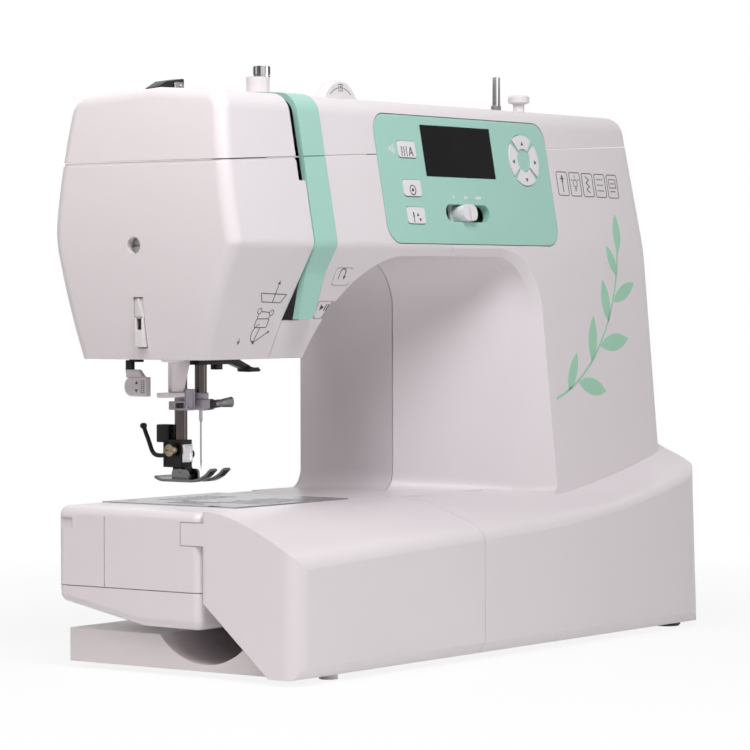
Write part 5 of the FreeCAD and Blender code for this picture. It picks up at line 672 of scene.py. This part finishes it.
def lay(name, stamps, place, body, slot, finish, thick=INK_THICK, lift=INK_LIFT, onto=None):
    """Join flat stamps, lay them on their face, curved where onto names its solid, and thicken them."""
    piece = join(stamps)
    if onto:
        heights = [point.co.y for point in piece.data.vertices]
        for row in range(int(min(heights)), int(max(heights)) + 1, PRINT_ROW):
            edit_all()
            bpy.ops.mesh.bisect(plane_co=(0, row, 0), plane_no=(0, 1, 0))
        bpy.ops.object.mode_set(mode="OBJECT")
    piece.matrix_world = place @ Matrix.Translation((0, 0, lift))
    settle()
    if onto:
        wrap(piece, onto, lift)
    modify(piece, "SOLIDIFY", thickness=thick * MM, offset=0)
    edit_all()
    bpy.ops.mesh.normals_make_consistent(inside=False)
    bpy.ops.object.mode_set(mode="OBJECT")
    return together(name, [piece], body, slot, finish)


def front_of(node, x, z):
    """Place and tilt of the front of a solid, seen from the user's side."""
    return on_face(node, (x, RAY_START_Y, z), (0, 1, 0), (1, 0, 0))


def sign_key(node, body, sign):
    """Print a sign on the middle of a key."""
    low, high = corners(node)
    middle = (low + high) / 2
    lay(body + "_sign", sign, front_of(node, middle.x, middle.z), body, "black_plastic", navy_ink)


UP, LEFT, DOWN, RIGHT = 0, 90, 180, 270  # the turn of an arrowhead
bpy.context.view_layer.update()
print("inks:", navy_ink.name, grey_ink.name, white_ink.name, mint_ink.name)

# %% [markdown]
# Three square keys choose stitches, lock a seam and park the needle, and four wedges move the cursor.
# Their signs are plain ones: a stitch row beside a letter, a ring with a dot, a needle with two arrows.

# %% Panel keys
stitch_sign = [bar((-0.6, -2.9), (-0.6, 2.9), 0.45), bar((1.5, -2.5), (3.3, 2.5), 0.7),
               bar((3.3, 2.5), (5.1, -2.5), 0.7), bar((2.2, -0.9), (4.4, -0.9), 0.6)]
for step in range(5):
    lean = 0.45 if step % 2 else -0.45
    stitch_sign.append(bar((-5.2 - lean, step * 1.1 - 2.7), (-5.2 + lean, step * 1.1 - 1.8), 0.5))
    stitch_sign.append(bar((-3.0 + lean, step * 1.1 - 2.7), (-3.0 - lean, step * 1.1 - 1.8), 0.5))
lock_sign = [ring((0, 0), 2.9, 2.35), disc((0, 0), 0.95)]
needle_sign = [bar((-2.6, -0.2), (-2.6, 2.9), 1.0), bar((-2.6, -3.0), (-2.6, -0.1), 0.5),
               arrow((1.4, 1.4), 1.25, UP), arrow((3.1, -1.2), 1.25, DOWN)]
for node, sign in (("stitch_key", stitch_sign), ("lock_key", lock_sign), ("needle_key", needle_sign)):
    sign_key(node, node, sign)
for side, turn in (("up", UP), ("left", LEFT), ("down", DOWN), ("right", RIGHT)):
    sign_key("cursor_%s_key" % side, "cursor_" + side, [arrow((0, 0), 1.5, turn)])

# %% [markdown]
# White marks on the mint panel: one, two and three arrowheads over the speed slider, and a small
# loudspeaker beside the stitch key. Behind the slider's slot lies a mint tray, so the slot has a floor.

# %% Panel marks
speed_marks = []
for count, left in ((1, -12.8), (2, -1.6), (3, 9.6)):
    for number in range(count):
        speed_marks.append(arrow((left + 1.9 * number, 0), 1.3, RIGHT))
lay("speed_marks", speed_marks, front_of("control_panel", 0, 256), "machine", "key_white", white_ink)
speaker = [bar((-2.9, 0), (-1.2, 0), 1.8), arrow((-0.7, 0), 1.95, LEFT),
           ring((-0.8, 0), 2.9, 2.35, -45, 90), ring((-0.8, 0), 4.2, 3.65, -45, 90)]
lay("speaker_mark", speaker, front_of("control_panel", -66.5, 281.7), "machine", "key_white", white_ink)
tray = lay("slider_tray", [rounded_box((0, 0), 56, 16, 4)], front_of("control_panel", 0, 254.5),
           "machine", "mint_plastic", finishes["mint_plastic"], thick=0.8, lift=-8.4)
TRAY_SHIFT = (-0.8, 1.4, -7.5)  # from under the panel's face to behind the slot
tray.data.transform(Matrix.Translation(mm(*TRAY_SHIFT)))

# %% [markdown]
# The two large keys on the head carry the reverse arrow, half solid and half stitched, and the
# start-and-stop sign: a triangle beside two slanted strokes.

# %% Head keys
reverse_sign = [ring((-1.2, 0.8), 2.7, 2.1, 0, 180), bar((1.2, 0.85), (1.2, -1.3), 0.6),
                arrow((1.2, -1.9), 1.35, DOWN)]
for step in range(3):
    reverse_sign.append(bar((-3.6, 0.4 - 1.25 * step), (-3.6, -0.45 - 1.25 * step), 0.6))
start_sign = [arrow((-2.4, 0), 2.1, RIGHT), bar((0.4, -2.0), (1.7, 2.0), 0.75),
              bar((2.3, -2.0), (3.6, 2.0), 0.75)]
for node, sign in (("reverse_key", reverse_sign), ("start_stop_key", start_sign)):
    sign_key(node, node, sign)

# %% [markdown]
# Five small outlined boxes on the column tell what the machine can do. They hold plain pictures here:
# a needle, a lamp, a zigzag, rows of stitches and a display. Below them a mint spray of leaves is
# printed on the column: a stem that is part of a large ring, and leaves that are each two slices of a
# circle, back to back.

# %% Column prints
box_middle = front_of("front_cover", 129, 266.5)
BOX_PITCH = 13.6
needle_x, lamp_x, zigzag_x, rows_x, display_x = (BOX_PITCH * number for number in range(-2, 3))
boxes = []
for number, x in enumerate((needle_x, lamp_x, zigzag_x, rows_x, display_x)):
    boxes.append(rounded_box((x, -0.12 * number), 11.8, 14.6, 1.7, 0.5))
boxes += [bar((needle_x, 1), (needle_x, 5), 1.4), bar((needle_x, -5), (needle_x, 1), 0.6),
          bar((needle_x - 2, 3), (needle_x + 2, 3), 0.5)]
boxes += [ring((lamp_x, 0.5), 2.4, 1.9), bar((lamp_x - 1, -2.7), (lamp_x + 1, -2.7), 0.7),
          bar((lamp_x - 0.7, -3.9), (lamp_x + 0.7, -3.9), 0.6)]
bulb = Vector((lamp_x, 0.5))
for turn in (30, 90, 150):
    ray = Vector((math.cos(math.radians(turn)), math.sin(math.radians(turn))))
    boxes.append(bar(bulb + ray * 3.3, bulb + ray * 4.8, 0.5))
for step in range(5):
    lean = 1.8 if step % 2 else -1.8
    boxes.append(bar((zigzag_x - lean, 2 * step - 5), (zigzag_x + lean, 2 * step - 3), 0.6))
for height in (3.4, 0, -3.4):
    for dash in range(3):
        dash_x = rows_x - 3 + 2.3 * dash
        boxes.append(bar((dash_x, height), (dash_x + 1.4, height), 0.7))
boxes += [rounded_box((display_x, 1.2), 7.6, 5.6, 0.6, 0.45),
          bar((display_x - 2.2, 1.2), (display_x + 2.2, 1.2), 0.5),
          bar((display_x - 2.6, -3.6), (display_x + 2.6, -3.6), 0.6)]
lay("feature_boxes", boxes, box_middle, "machine", "black_plastic", grey_ink, onto="front_cover")


def leaf(root, length, wide, turn):
    """A slice of a large circle and its mirror image, back to back."""
    bulge = wide / 2
    radius = (length ** 2 / 4 + bulge ** 2) / (2 * bulge)
    fresh()
    bpy.ops.mesh.primitive_circle_add(vertices=160, radius=radius, fill_type="NGON",
                                      location=(0, bulge - radius, 0))
    piece = settle()
    edit_all()
    bpy.ops.mesh.bisect(plane_co=(0, 0, 0), plane_no=(0, 1, 0), clear_inner=True)
    edit_all()
    bpy.ops.mesh.duplicate()
    bpy.ops.transform.resize(value=(1, -1, 1), center_override=(0, 0, 0))
    hold(piece)
    way = math.radians(turn)
    piece.rotation_euler = (0, 0, way)
    piece.location = (root[0] + math.cos(way) * length / 2,
                      root[1] + math.sin(way) * length / 2, 0)
    return settle()


STEM_MIDDLE = Vector((-72, 52))
STEM_RADIUS, STEM_WIDE = 100, 1.6
LEAF_SLIM, LEAF_SPREAD = 0.33, 42  # width to length, and degrees away from the stem
spray = [ring(STEM_MIDDLE, STEM_RADIUS, STEM_RADIUS - STEM_WIDE, -74, 68)]
for turn, side, length in ((-67, 1, 25), (-60, -1, 30), (-49, 1, 28), (-41, -1, 31), (-31, 1, 26),
                           (-23, -1, 26), (-14, 1, 21), (-6, 0, 24)):
    way = math.radians(turn)
    root = STEM_MIDDLE + STEM_RADIUS * Vector((math.cos(way), math.sin(way)))
    spray.append(leaf(root, length, length * LEAF_SLIM, turn + 90 + side * LEAF_SPREAD))
lay("leaf_spray", spray, front_of("front_cover", 124, 184), "machine", "mint_plastic", mint_ink,
    onto="front_cover")

# %% [markdown]
# On the lower front of the head a small line drawing shows the way of the thread, and a little mark
# points down at the lamp. The drawing is a path of its own with two eyes, boxes and arrowheads.

# %% Thread drawing
path = [bar((0, -2), (0.4, 8), 0.5), arrow((0.5, 9.2), 1.5, UP), bar((-12, 3.4), (10, 2.6), 0.45),
        bar((-9, -1.6), (7, -2.2), 0.45), bar((-12, 3.4), (-9, -1.6), 0.45),
        bar((10, 2.6), (7, -2.2), 0.45),
        ring((-8, -7), 1.8, 1.4), ring((2.5, -8), 1.8, 1.4), bar((-6.2, -7.2), (0.8, -7.8), 0.45),
        rounded_box((-3, -14), 11, 5.5, 1.2, 0.45), bar((-3, -16.7), (-4.5, -24), 0.5),
        arrow((-4.8, -25), 1.4, DOWN), bar((-8, -8.8), (-8, -11.2), 0.45),
        bar((2.4, -9.8), (1.6, -11.2), 0.45), ring((-2.4, -20.2), 6.2, 5.75, 110, 150),
        bar((-5, -25.6), (4.6, -19.6), 0.45), arrow((5.2, -19.2), 1.2, RIGHT)]
lay("thread_drawing", path, front_of("face_cover", -167, 199), "machine", "black_plastic", grey_ink,
    onto="face_cover")
lay("lamp_mark", [arrow((0, 0), 1.3, DOWN), bar((0, 0.6), (0, 2.4), 0.5)],
    front_of("face_cover", -184, 176), "machine", "black_plastic", grey_ink)

# %% [markdown]
# The tension dial has a fine arc printed on its front face and, in a small box in the middle of that
# arc, the number of the everyday tension.

# %% Dial numbers
dial_low, dial_high = corners("tension_dial")
dial_middle = (dial_low + dial_high) / 2
dial_face = front_of("tension_dial", dial_middle.x, dial_middle.z + 12)
dial_face.translation.z = dial_middle.z * MM
ARC_RADIUS, ARC_LINE = 13.2, 0.3
dial_marks = [ring((0, 0), ARC_RADIUS + ARC_LINE / 2, ARC_RADIUS - ARC_LINE / 2, start, 35)
              for start in (45, 100)]
dial_marks += [rounded_box((0, ARC_RADIUS), 3.6, 4.0, 0.5, ARC_LINE),
               numeral("4", (0, ARC_RADIUS), 3.6)]
lay("dial_numbers", dial_marks, dial_face, "tension_dial", "black_plastic", grey_ink)

# %% [markdown]
# The grip of the buttonhole lever is a flat pale tab: round towards the back, square towards the front,
# with a waisted neck. It starts as a cube whose two back edges are bevelled into a half round.

# %% Buttonhole grip
low, high = corners("buttonhole_knob")
tab = block((low.x + 0.5, low.y - 4, low.z + 3.5), (low.x + 4.7, high.y - 0.5, low.z + 14))
round_edges(tab, X, 5.0, 8, lambda place: place.y > high.y - 1)
soften(tab, 0.5)
neck = block((low.x + 1, low.y - 1.5, low.z + 13.5), (low.x + 4.6, high.y - 1.2, low.z + 18))
faces(neck, TO_TOP)
bpy.ops.transform.resize(value=(0.9, 0.72, 1))
shift(0, 2.0, 0)
soften(neck, 0.6)
stem = soften(block((low.x + 1.7, low.y + 7.0, low.z + 16),
                    (low.x + 4.4, high.y - 0.4, low.z + 23)), 0.4)
together("buttonhole_grip_stem", [stem], "buttonhole_lever", "black_plastic")
together("buttonhole_grip", [tab, neck], "buttonhole_lever", "key_white", finishes["body_white"],
         ("buttonhole_knob",))
grip_marks = [arrow((1.2, 2.2), 1.3, UP), arrow((1.0, -1.8), 1.3, DOWN)]
for row in range(7):
    height = 3.4 - 1.05 * row
    grip_marks += [bar((4.3, height), (5.2, height), 0.5), bar((5.8, height), (6.7, height), 0.5)]
grip_face = Matrix((TO_FRONT, TO_TOP, TO_LEFT)).transposed().to_4x4()
grip_place = Matrix.Translation(Vector((low.x + 0.5, (low.y + high.y) / 2 - 2.2, low.z + 8.6)) * MM)
lay("buttonhole_grip_marks", grip_marks, grip_place @ grip_face @ Matrix.Scale(MM, 4),
    "buttonhole_lever", "black_plastic", grey_ink)

# %% [markdown]
# The needle threader is a white blade that tapers downwards, with a flat foot for the finger, a grey
# block that meets the needle bar and a grey clip with a dark middle that holds the tiny hook.

# %% Needle threader
low, high = corners("needle_threader")
lilac_grey = moulded("lilac_grey_moulding", (0.40, 0.37, 0.43), 0.36, 0.2, 0.03, 0.3)
blade = block((low.x + 2.8, 24, 149), (high.x - 1.8, 27.2, 166))
pick(blade, "VERT", lambda place, out: place.z < 150 and place.x > low.x + 5)
shift(-5.5, 0, 0)
faces(blade, TO_TOP)
push(0, 0, high.z - 168)
soften(blade, 0.7)
foot_plate = block((low.x - 5, 23, 146.2), (-174.6, 29.4, 148.9))
round_edges(foot_plate, Z, 2.2, 5, lambda place: place.x < low.x)
soften(foot_plate, 0.6)
together("threader_blade", [blade, foot_plate], "threader", "key_white", finishes["body_white"],
         ("needle_threader",))
meeting = block((-174.4, 22.6, 139), (high.x, 29.8, 150.5))
recess(meeting, TO_FRONT, 1.3, 0.7)
soften(meeting, 0.5)
together("threader_block", [meeting], "threader", "key_white", lilac_grey)
clip = block((-183.2, 23.2, 139.6), (-174.2, 27.4, 144.2))
recess(clip, TO_FRONT, 0.9, 1.2)
soften(clip, 0.3)
together("threader_clip", [clip], "threader", "key_white", lilac_grey)
middle = soften(block((-182.0, 23.6, 140.8), (-175.4, 24.8, 143.0)), 0.3)
eye = soften(rod((-178.5, 23.2, 141.9), (-178.5, 24.4, 141.9), 1.0), 0.3)
together("threader_hook_holder", [middle, eye], "threader", "black_plastic")

# %% [markdown]
# The needle clamp is a short grey sleeve with a flat lug. Its screw leaves to the right: a dark
# hexagon, a plain collar and a drop-shaped thumb piece, which is a bar whose end is scaled down.

# %% Needle clamp
low, high = corners("needle_clamp")
bar_x, bar_y = (low.x + high.x) / 2, (low.y + high.y) / 2
sleeve = soften(rod((bar_x, bar_y, low.z + 5), (bar_x, bar_y, high.z - 0.5), 4.2, 40), 0.8)
lug = soften(block((bar_x - 4.6, bar_y - 4.8, low.z + 5.5),
                   (bar_x + 2.4, bar_y + 3.4, high.z - 4)), 0.9)
together("needle_clamp_sleeve", [sleeve, lug], "needle_bar", "chrome", lilac_grey,
         ("needle_clamp",))
low, high = corners("clamp_screw")
screw_z = (low.z + high.z) / 2
hexagon = soften(rod((bar_x + 2, bar_y, screw_z),
                     (bar_x + 10.4, bar_y, screw_z + 0.3), 3.1, 6), 0.4)
together("clamp_screw_hexagon", [hexagon], "needle_bar", "black_plastic")
collar = soften(rod((bar_x + 10.4, bar_y, screw_z + 0.3),
                    (bar_x + 16.5, bar_y, screw_z + 0.6), 2.3), 0.4)
thumb = rod((bar_x + 16.5, bar_y, screw_z + 0.6), (high.x - 2.6, bar_y, screw_z + 1.1), 3.0)
faces(thumb, TO_LEFT)
bpy.ops.transform.resize(value=(1, 0.7, 0.7))
pick(thumb, "VERT", lambda place, out: True)
bpy.ops.transform.resize(value=(1, 0.62, 1))
soften(thumb, 1.3, 5)
together("clamp_screw_thumb", [collar, thumb], "needle_bar", "chrome", dark_steel, ("clamp_screw",))

# %% [markdown]
# The foot holder is a black block clamped on the presser bar. A bright plate is let into its front, a
# slotted screw holds it from the left, and a round black knob ends the cross pin on the right.

# %% Foot holder
low, high = corners("foot_holder")
shell = block((low.x + 0.4, 33.6, 107.6), (high.x - 2.5, 46.6, 122.6))
recess(shell, TO_LEFT, 1.6, 0.6)
soften(shell, 0.6)
hook = block((low.x, 42.9, 121), (low.x + 6.8, 51.2, 130.8))
recess(hook, TO_TOP, 1.6, 2.6)
soften(hook, 0.7)
tongue = block((bar_x - 3.1, low.y + 2, low.z), (bar_x + 3.1, 42, 108))
round_edges(tongue, X, 2.0, 5, lambda place: place.z < low.z + 0.5)
soften(tongue, 0.3)
knob = soften(rod((high.x - 2.6, 36.6, 114.6), (high.x + 0.6, 36.6, 114.6), 2.7), 0.8)
together("foot_holder_block", [shell, hook, tongue, knob], "presser", "black_plastic", None,
         ("foot_holder",))
front_plate = block((low.x + 0.9, 32.2, 110.4), (high.x - 3.6, 33.8, 120.2))
recess(front_plate, TO_FRONT, 0.8, 0.4)
soften(front_plate, 0.25)
together("foot_holder_plate", [front_plate], "presser", "chrome", bright_plate)

# %% [markdown]
# The screw's head is a disc with a turned rim and a slot. The slot is a strip of the inner face, cut
# out by two bisects and pushed in.

# %% Foot screw
low, high = corners("foot_screw")
screw_y, screw_z = (low.y + high.y) / 2, (low.z + high.z) / 2
head = rod((low.x + 1.2, screw_y, screw_z), (low.x + 6, screw_y, screw_z), 3.3, 40)
recess(head, TO_LEFT, 0.7, 0.5)
SLOT_HALF = 0.5
for edge_z in (screw_z - SLOT_HALF, screw_z + SLOT_HALF):
    faces(head, TO_LEFT)
    bpy.ops.mesh.bisect(plane_co=Vector((low.x, screw_y, edge_z)) * MM, plane_no=(0, 0, 1))
pick(head, "FACE", lambda place, out: (out.x < -FACING and abs(place.z - screw_z) < SLOT_HALF - 0.1
                                       and place.x > low.x + 1.4))
push(0.8, 0, 0)
soften(head, 0.15, 2)
together("foot_screw_head", [head], "presser", "chrome", brass, ("foot_screw",))

# %% [markdown]
# Behind the holder a thin black lever lets the foot go. It is a swept wire: a path bent upwards in a
# hook, with the curve's own bevel for its thickness, made a mesh afterwards.

# %% Release lever
low, high = corners("release_lever")
middle_x = (low.x + high.x) / 2
fresh()
bpy.ops.curve.primitive_nurbs_path_add()
lever = bpy.context.object
line = lever.data.splines[0]
way = ((46.6, 114.2), (53.0, 113.2), (58.6, 114.2), (61.2, 121.0), (64.2, 127.0), (65.4, 130.0))
WIRE_CREASE = math.radians(40)
line.points.add(len(way) - len(line.points))
for point, (y, z) in zip(line.points, way):
    point.co = mm(middle_x, y, z) + (1,)
line.order_u = 3
line.use_endpoint_u = True
lever.data.bevel_depth = 1.25 * MM
lever.data.bevel_resolution = 3
lever.data.resolution_u = 10
lever.data.use_fill_caps = True
bpy.ops.object.convert(target="MESH")
lever = settle()
bpy.ops.object.shade_smooth_by_angle(angle=WIRE_CREASE)
pivot = soften(rod((low.x, 47.5, 114), (high.x, 47.5, 114), 1.1), 0.3)
tip = soften(rod((middle_x - 1.5, 65.2, 129.5), (middle_x + 1.5, 65.2, 129.5), 1.6), 0.6)
together("release_hook", [lever, pivot, tip], "release_lever", "black_plastic", None,
         ("release_lever",))

# %% [markdown]
# The presser foot is bent from one piece of sheet. A grid is laid down, the needle gap is cut out of
# its front, and the two toes are curled up row by row: each row and all before it turn a little more.
# The heel is bent up in the same way.

# %% Presser foot
low, high = corners("presser_foot")
sole_z = low.z + 0.7
SHEET_THICK = 1.5
GAP_HALF, GAP_END = 2.4, 27
BEND_STEP, BEND_CLEAR = 2, 0.2
fresh()
bpy.ops.mesh.primitive_grid_add(x_subdivisions=12, y_subdivisions=43, size=1,
                                location=mm((low.x + high.x) / 2, (low.y + high.y) / 2, sole_z))
bpy.context.object.scale = mm(high.x - low.x, high.y - low.y) + (1,)
sole = settle()
pick(sole, "FACE", lambda place, out: abs(place.x - bar_x) < GAP_HALF and place.y < GAP_END)
bpy.ops.mesh.delete(type="FACE")
for way, first_y, rows, degrees in ((-1, 25, 8, 5.5), (1, 45, 3, -9)):
    for row in range(rows):
        bend_y = first_y + way * BEND_STEP * row
        pick(sole, "VERT", lambda place, out: way * (place.y - bend_y) > BEND_CLEAR)
        bpy.ops.transform.rotate(value=math.radians(degrees), orient_axis="X",
                                 center_override=mm(bar_x, bend_y, sole_z))
hold(sole)
modify(sole, "SOLIDIFY", thickness=SHEET_THICK * MM, offset=0)
soften(sole, 0.35)
points = [point.co / MM for point in sole.data.vertices]
print("sole from", [round(min(p[i] for p in points), 1) for i in range(3)],
      "to", [round(max(p[i] for p in points), 1) for i in range(3)])
cheeks = []
for side in (-1, 1):
    cheek_x = bar_x + side * 4.4
    cheek = block((cheek_x - 0.8, 29.5, 101), (cheek_x + 0.8, 41, 106.8))
    round_edges(cheek, X, 2.4, 5, lambda place: place.z > 106)
    cheeks.append(soften(cheek, 0.3))
pin = soften(rod((bar_x - 5.4, 35, 106), (bar_x + 5.4, 35, 106), 1.2), 0.3)
together("presser_foot_sheet", [sole, pin] + cheeks, "presser_foot", "chrome", foot_steel_painted_dark,
         ("presser_foot",))

# %% [markdown]
# The thread cutter sits in its slot in the face: a white housing with a notch pressed into it, a dark
# blade in the notch and a pointed guard above. The lamp under the head is a shallow milky lens.

# %% Thread cutter and lamp
low, high = corners("thread_cutter")
front_x, notch_z, guard_z = low.x - 2.6, low.z + 9.5, low.z + 16.5
housing = block((front_x, low.y + 0.3, low.z + 0.3), (high.x - 1, high.y - 0.3, guard_z))
faces(housing, TO_LEFT)
bpy.ops.mesh.inset(thickness=1.2 * MM)
bpy.ops.mesh.bisect(plane_co=Vector((front_x, 0, notch_z)) * MM, plane_no=(0, 0, 1))
middle_y = (low.y + high.y) / 2
pick(housing, "FACE", lambda place, out: (out.x < -FACING and place.z > notch_z
                                          and abs(place.y - middle_y) < 1))
push(3.0, 0, 0)
soften(housing, 0.4)
guard = block((front_x, low.y + 0.3, guard_z), (high.x - 1, high.y - 0.3, high.z - 0.3))
faces(guard, TO_TOP)
bpy.ops.transform.resize(value=(0.8, 0.12, 1))
shift(-1.5, 0, 0)
soften(guard, 0.3)
backing = soften(block((low.x - 1.8, low.y - 0.1, guard_z - 1),
                       (high.x, high.y + 0.1, high.z - 0.1)), 0.2)
together("cutter_housing", [housing, guard, backing], "machine", "cutter_grey", None,
         ("thread_cutter",))
cutter_blade = block((front_x + 0.8, low.y + 1.7, notch_z + 0.3),
                     (front_x + 3, high.y - 1.7, guard_z - 1.3))
faces(cutter_blade, TO_LEFT)
bpy.ops.transform.resize(value=(1, 0.6, 1))
soften(cutter_blade, 0.2)
together("cutter_blade", [cutter_blade], "machine", "screw_steel", finishes["black_plastic"])
low, high = corners("led_lamp")
lens = block((low.x + 0.5, low.y + 0.5, high.z - 1.2), (high.x - 0.5, high.y - 0.5, high.z))
faces(lens, TO_FLOOR)
bpy.ops.mesh.inset(thickness=1.6 * MM)
shift(0, 0, -0.5)
soften(lens, 0.4)
together("lamp_lens", [lens], "machine", "lamp_white", None, ("led_lamp",))

# %% [markdown]
# The lifter is a black lever: a boss on its pin, an arm that slopes down out of the head and a flat
# paddle for the finger. Under the head a black plate guides the needle bar.

# %% Lifter and guide plate
low, high = corners("lifter_lever")
pin_x, pin_z = -141, 175
boss = soften(rod((pin_x, low.y + 0.4, pin_z), (pin_x, high.y - 0.4, pin_z), 6), 0.8)
arm = block((-142, low.y + 1.4, 169.5), (-104, high.y - 1.4, 176))
faces(arm, TO_RIGHT)
shift(0, 0, -13)
bpy.ops.transform.resize(value=(1, 1, 0.55))
soften(arm, 0.9)
paddle = block((-110, low.y - 1, 158.4), (high.x - 0.2, high.y + 1, 161.4))
round_edges(paddle, Z, 3.6, 6)
pick(paddle, "VERT", lambda place, out: place.x > high.x - 6 and place.z > 160)
shift(0, 0, -1.2)
soften(paddle, 0.9)
together("lifter_paddle", [boss, arm, paddle], "lifter", "black_plastic", None, ("lifter_lever",))
guide = block((-165.6, 20.6, 163.4), (-138, 31, 166.9))
recess(guide, TO_FLOOR, 1.5, 0.5)
soften(guide, 0.5)
step_block = soften(block((-144, 26, 160.4), (-138.6, 30.6, 164)), 0.5)
together("bar_guide_plate", [guide, step_block], "machine", "black_plastic")

# %% [markdown]
# The needle plate has seam lines cut into it, every few millimetres from the needle, so that an edge
# of cloth can be led along one of them. They are laid on like the prints, in dark ink.

# %% Seam lines
FIRST_SEAM, SEAM_STEP = 12, 8
seam_lines = []
for number in range(6):
    across = FIRST_SEAM + SEAM_STEP * number
    seam_lines.append(bar((across, -33), (across, -6 if number % 2 else -2), 0.5))
    seam_lines.append(bar((across, 18), (across, 40), 0.5))
plate_top = on_face("needle_plate", (-120, 34, 140), (0, 0, -1), (1, 0, 0))
NEEDLE_X, NEEDLE_Y = -159.5, 24.5
plate_top.translation.xy = mm(NEEDLE_X, NEEDLE_Y)
lay("seam_lines", seam_lines, plate_top, "machine", "black_plastic", grey_ink)

# %% [markdown]
# On the top the black guide at the needle end is a wedge with a round end; it carries a little spring
# plate with a bright rivet. The winder spindle is three dark prongs on a round seat, to grip the
# bobbin.

# %% Top fittings
low, high = corners("upper_thread_guide")
wedge_end = high.x - 13
wedge = block((low.x + 3, low.y + 2.5, low.z), (wedge_end, high.y - 1, high.z))
pick(wedge, "VERT", lambda place, out: place.x < low.x + 4 and place.z > high.z - 1)
shift(0, 0, -6.0)
bow_x = low.x + 11
pick(wedge, "FACE", lambda place, out: True)
bpy.ops.mesh.bisect(plane_co=(bow_x * MM, 0, 0), plane_no=(1, 0, 0))
pick(wedge, "VERT", lambda place, out: abs(place.x - bow_x) < 0.5 and place.z > low.z + 2)
shift(0, 0, 1.9)
round_edges(wedge, Z, 2.6, 6, lambda place: place.x > wedge_end - 1)
soften(wedge, 0.6)
together("top_guide_wedge", [wedge], "machine", "black_plastic", None, ("upper_thread_guide",))
spring = block((wedge_end - 10, low.y + 2.0, low.z + 1.4),
               (wedge_end - 2.4, low.y + 2.9, low.z + 5.6))
round_edges(spring, Y, 1.6, 5)
soften(spring, 0.2)
rivet_x, rivet_z = wedge_end - 4.6, low.z + 3.5
rivet = soften(rod((rivet_x, low.y + 1.3, rivet_z), (rivet_x, low.y + 2.4, rivet_z), 1.1), 0.4)
together("guide_spring", [spring, rivet], "machine", "chrome")
low, high = corners("winder_spindle")
spin_x, spin_y = (low.x + high.x) / 2, (low.y + high.y) / 2
PRONG_OUT, PRONG_RADIUS = 1.95, 0.95
prongs = []
for turn in (85, 205, 325):
    way = math.radians(turn)
    prong_x = spin_x + PRONG_OUT * math.cos(way)
    prong_y = spin_y + PRONG_OUT * math.sin(way)
    prong = rod((prong_x, prong_y, low.z), (prong_x, prong_y, high.z), PRONG_RADIUS, 24)
    faces(prong, TO_TOP)
    bpy.ops.transform.resize(value=(0.55, 0.55, 1))
    prongs.append(soften(prong, 0.2))
seat = soften(rod((spin_x, spin_y, low.z), (spin_x, spin_y, high.z - 17.0), 3.0), 0.3)
together("split_spindle", prongs + [seat], "winder_spindle", "brushed_steel", dark_steel,
         ("winder_spindle",))

# %% [markdown]
# The last cell brings the scene up to date.

# %% The end
bpy.context.view_layer.update()
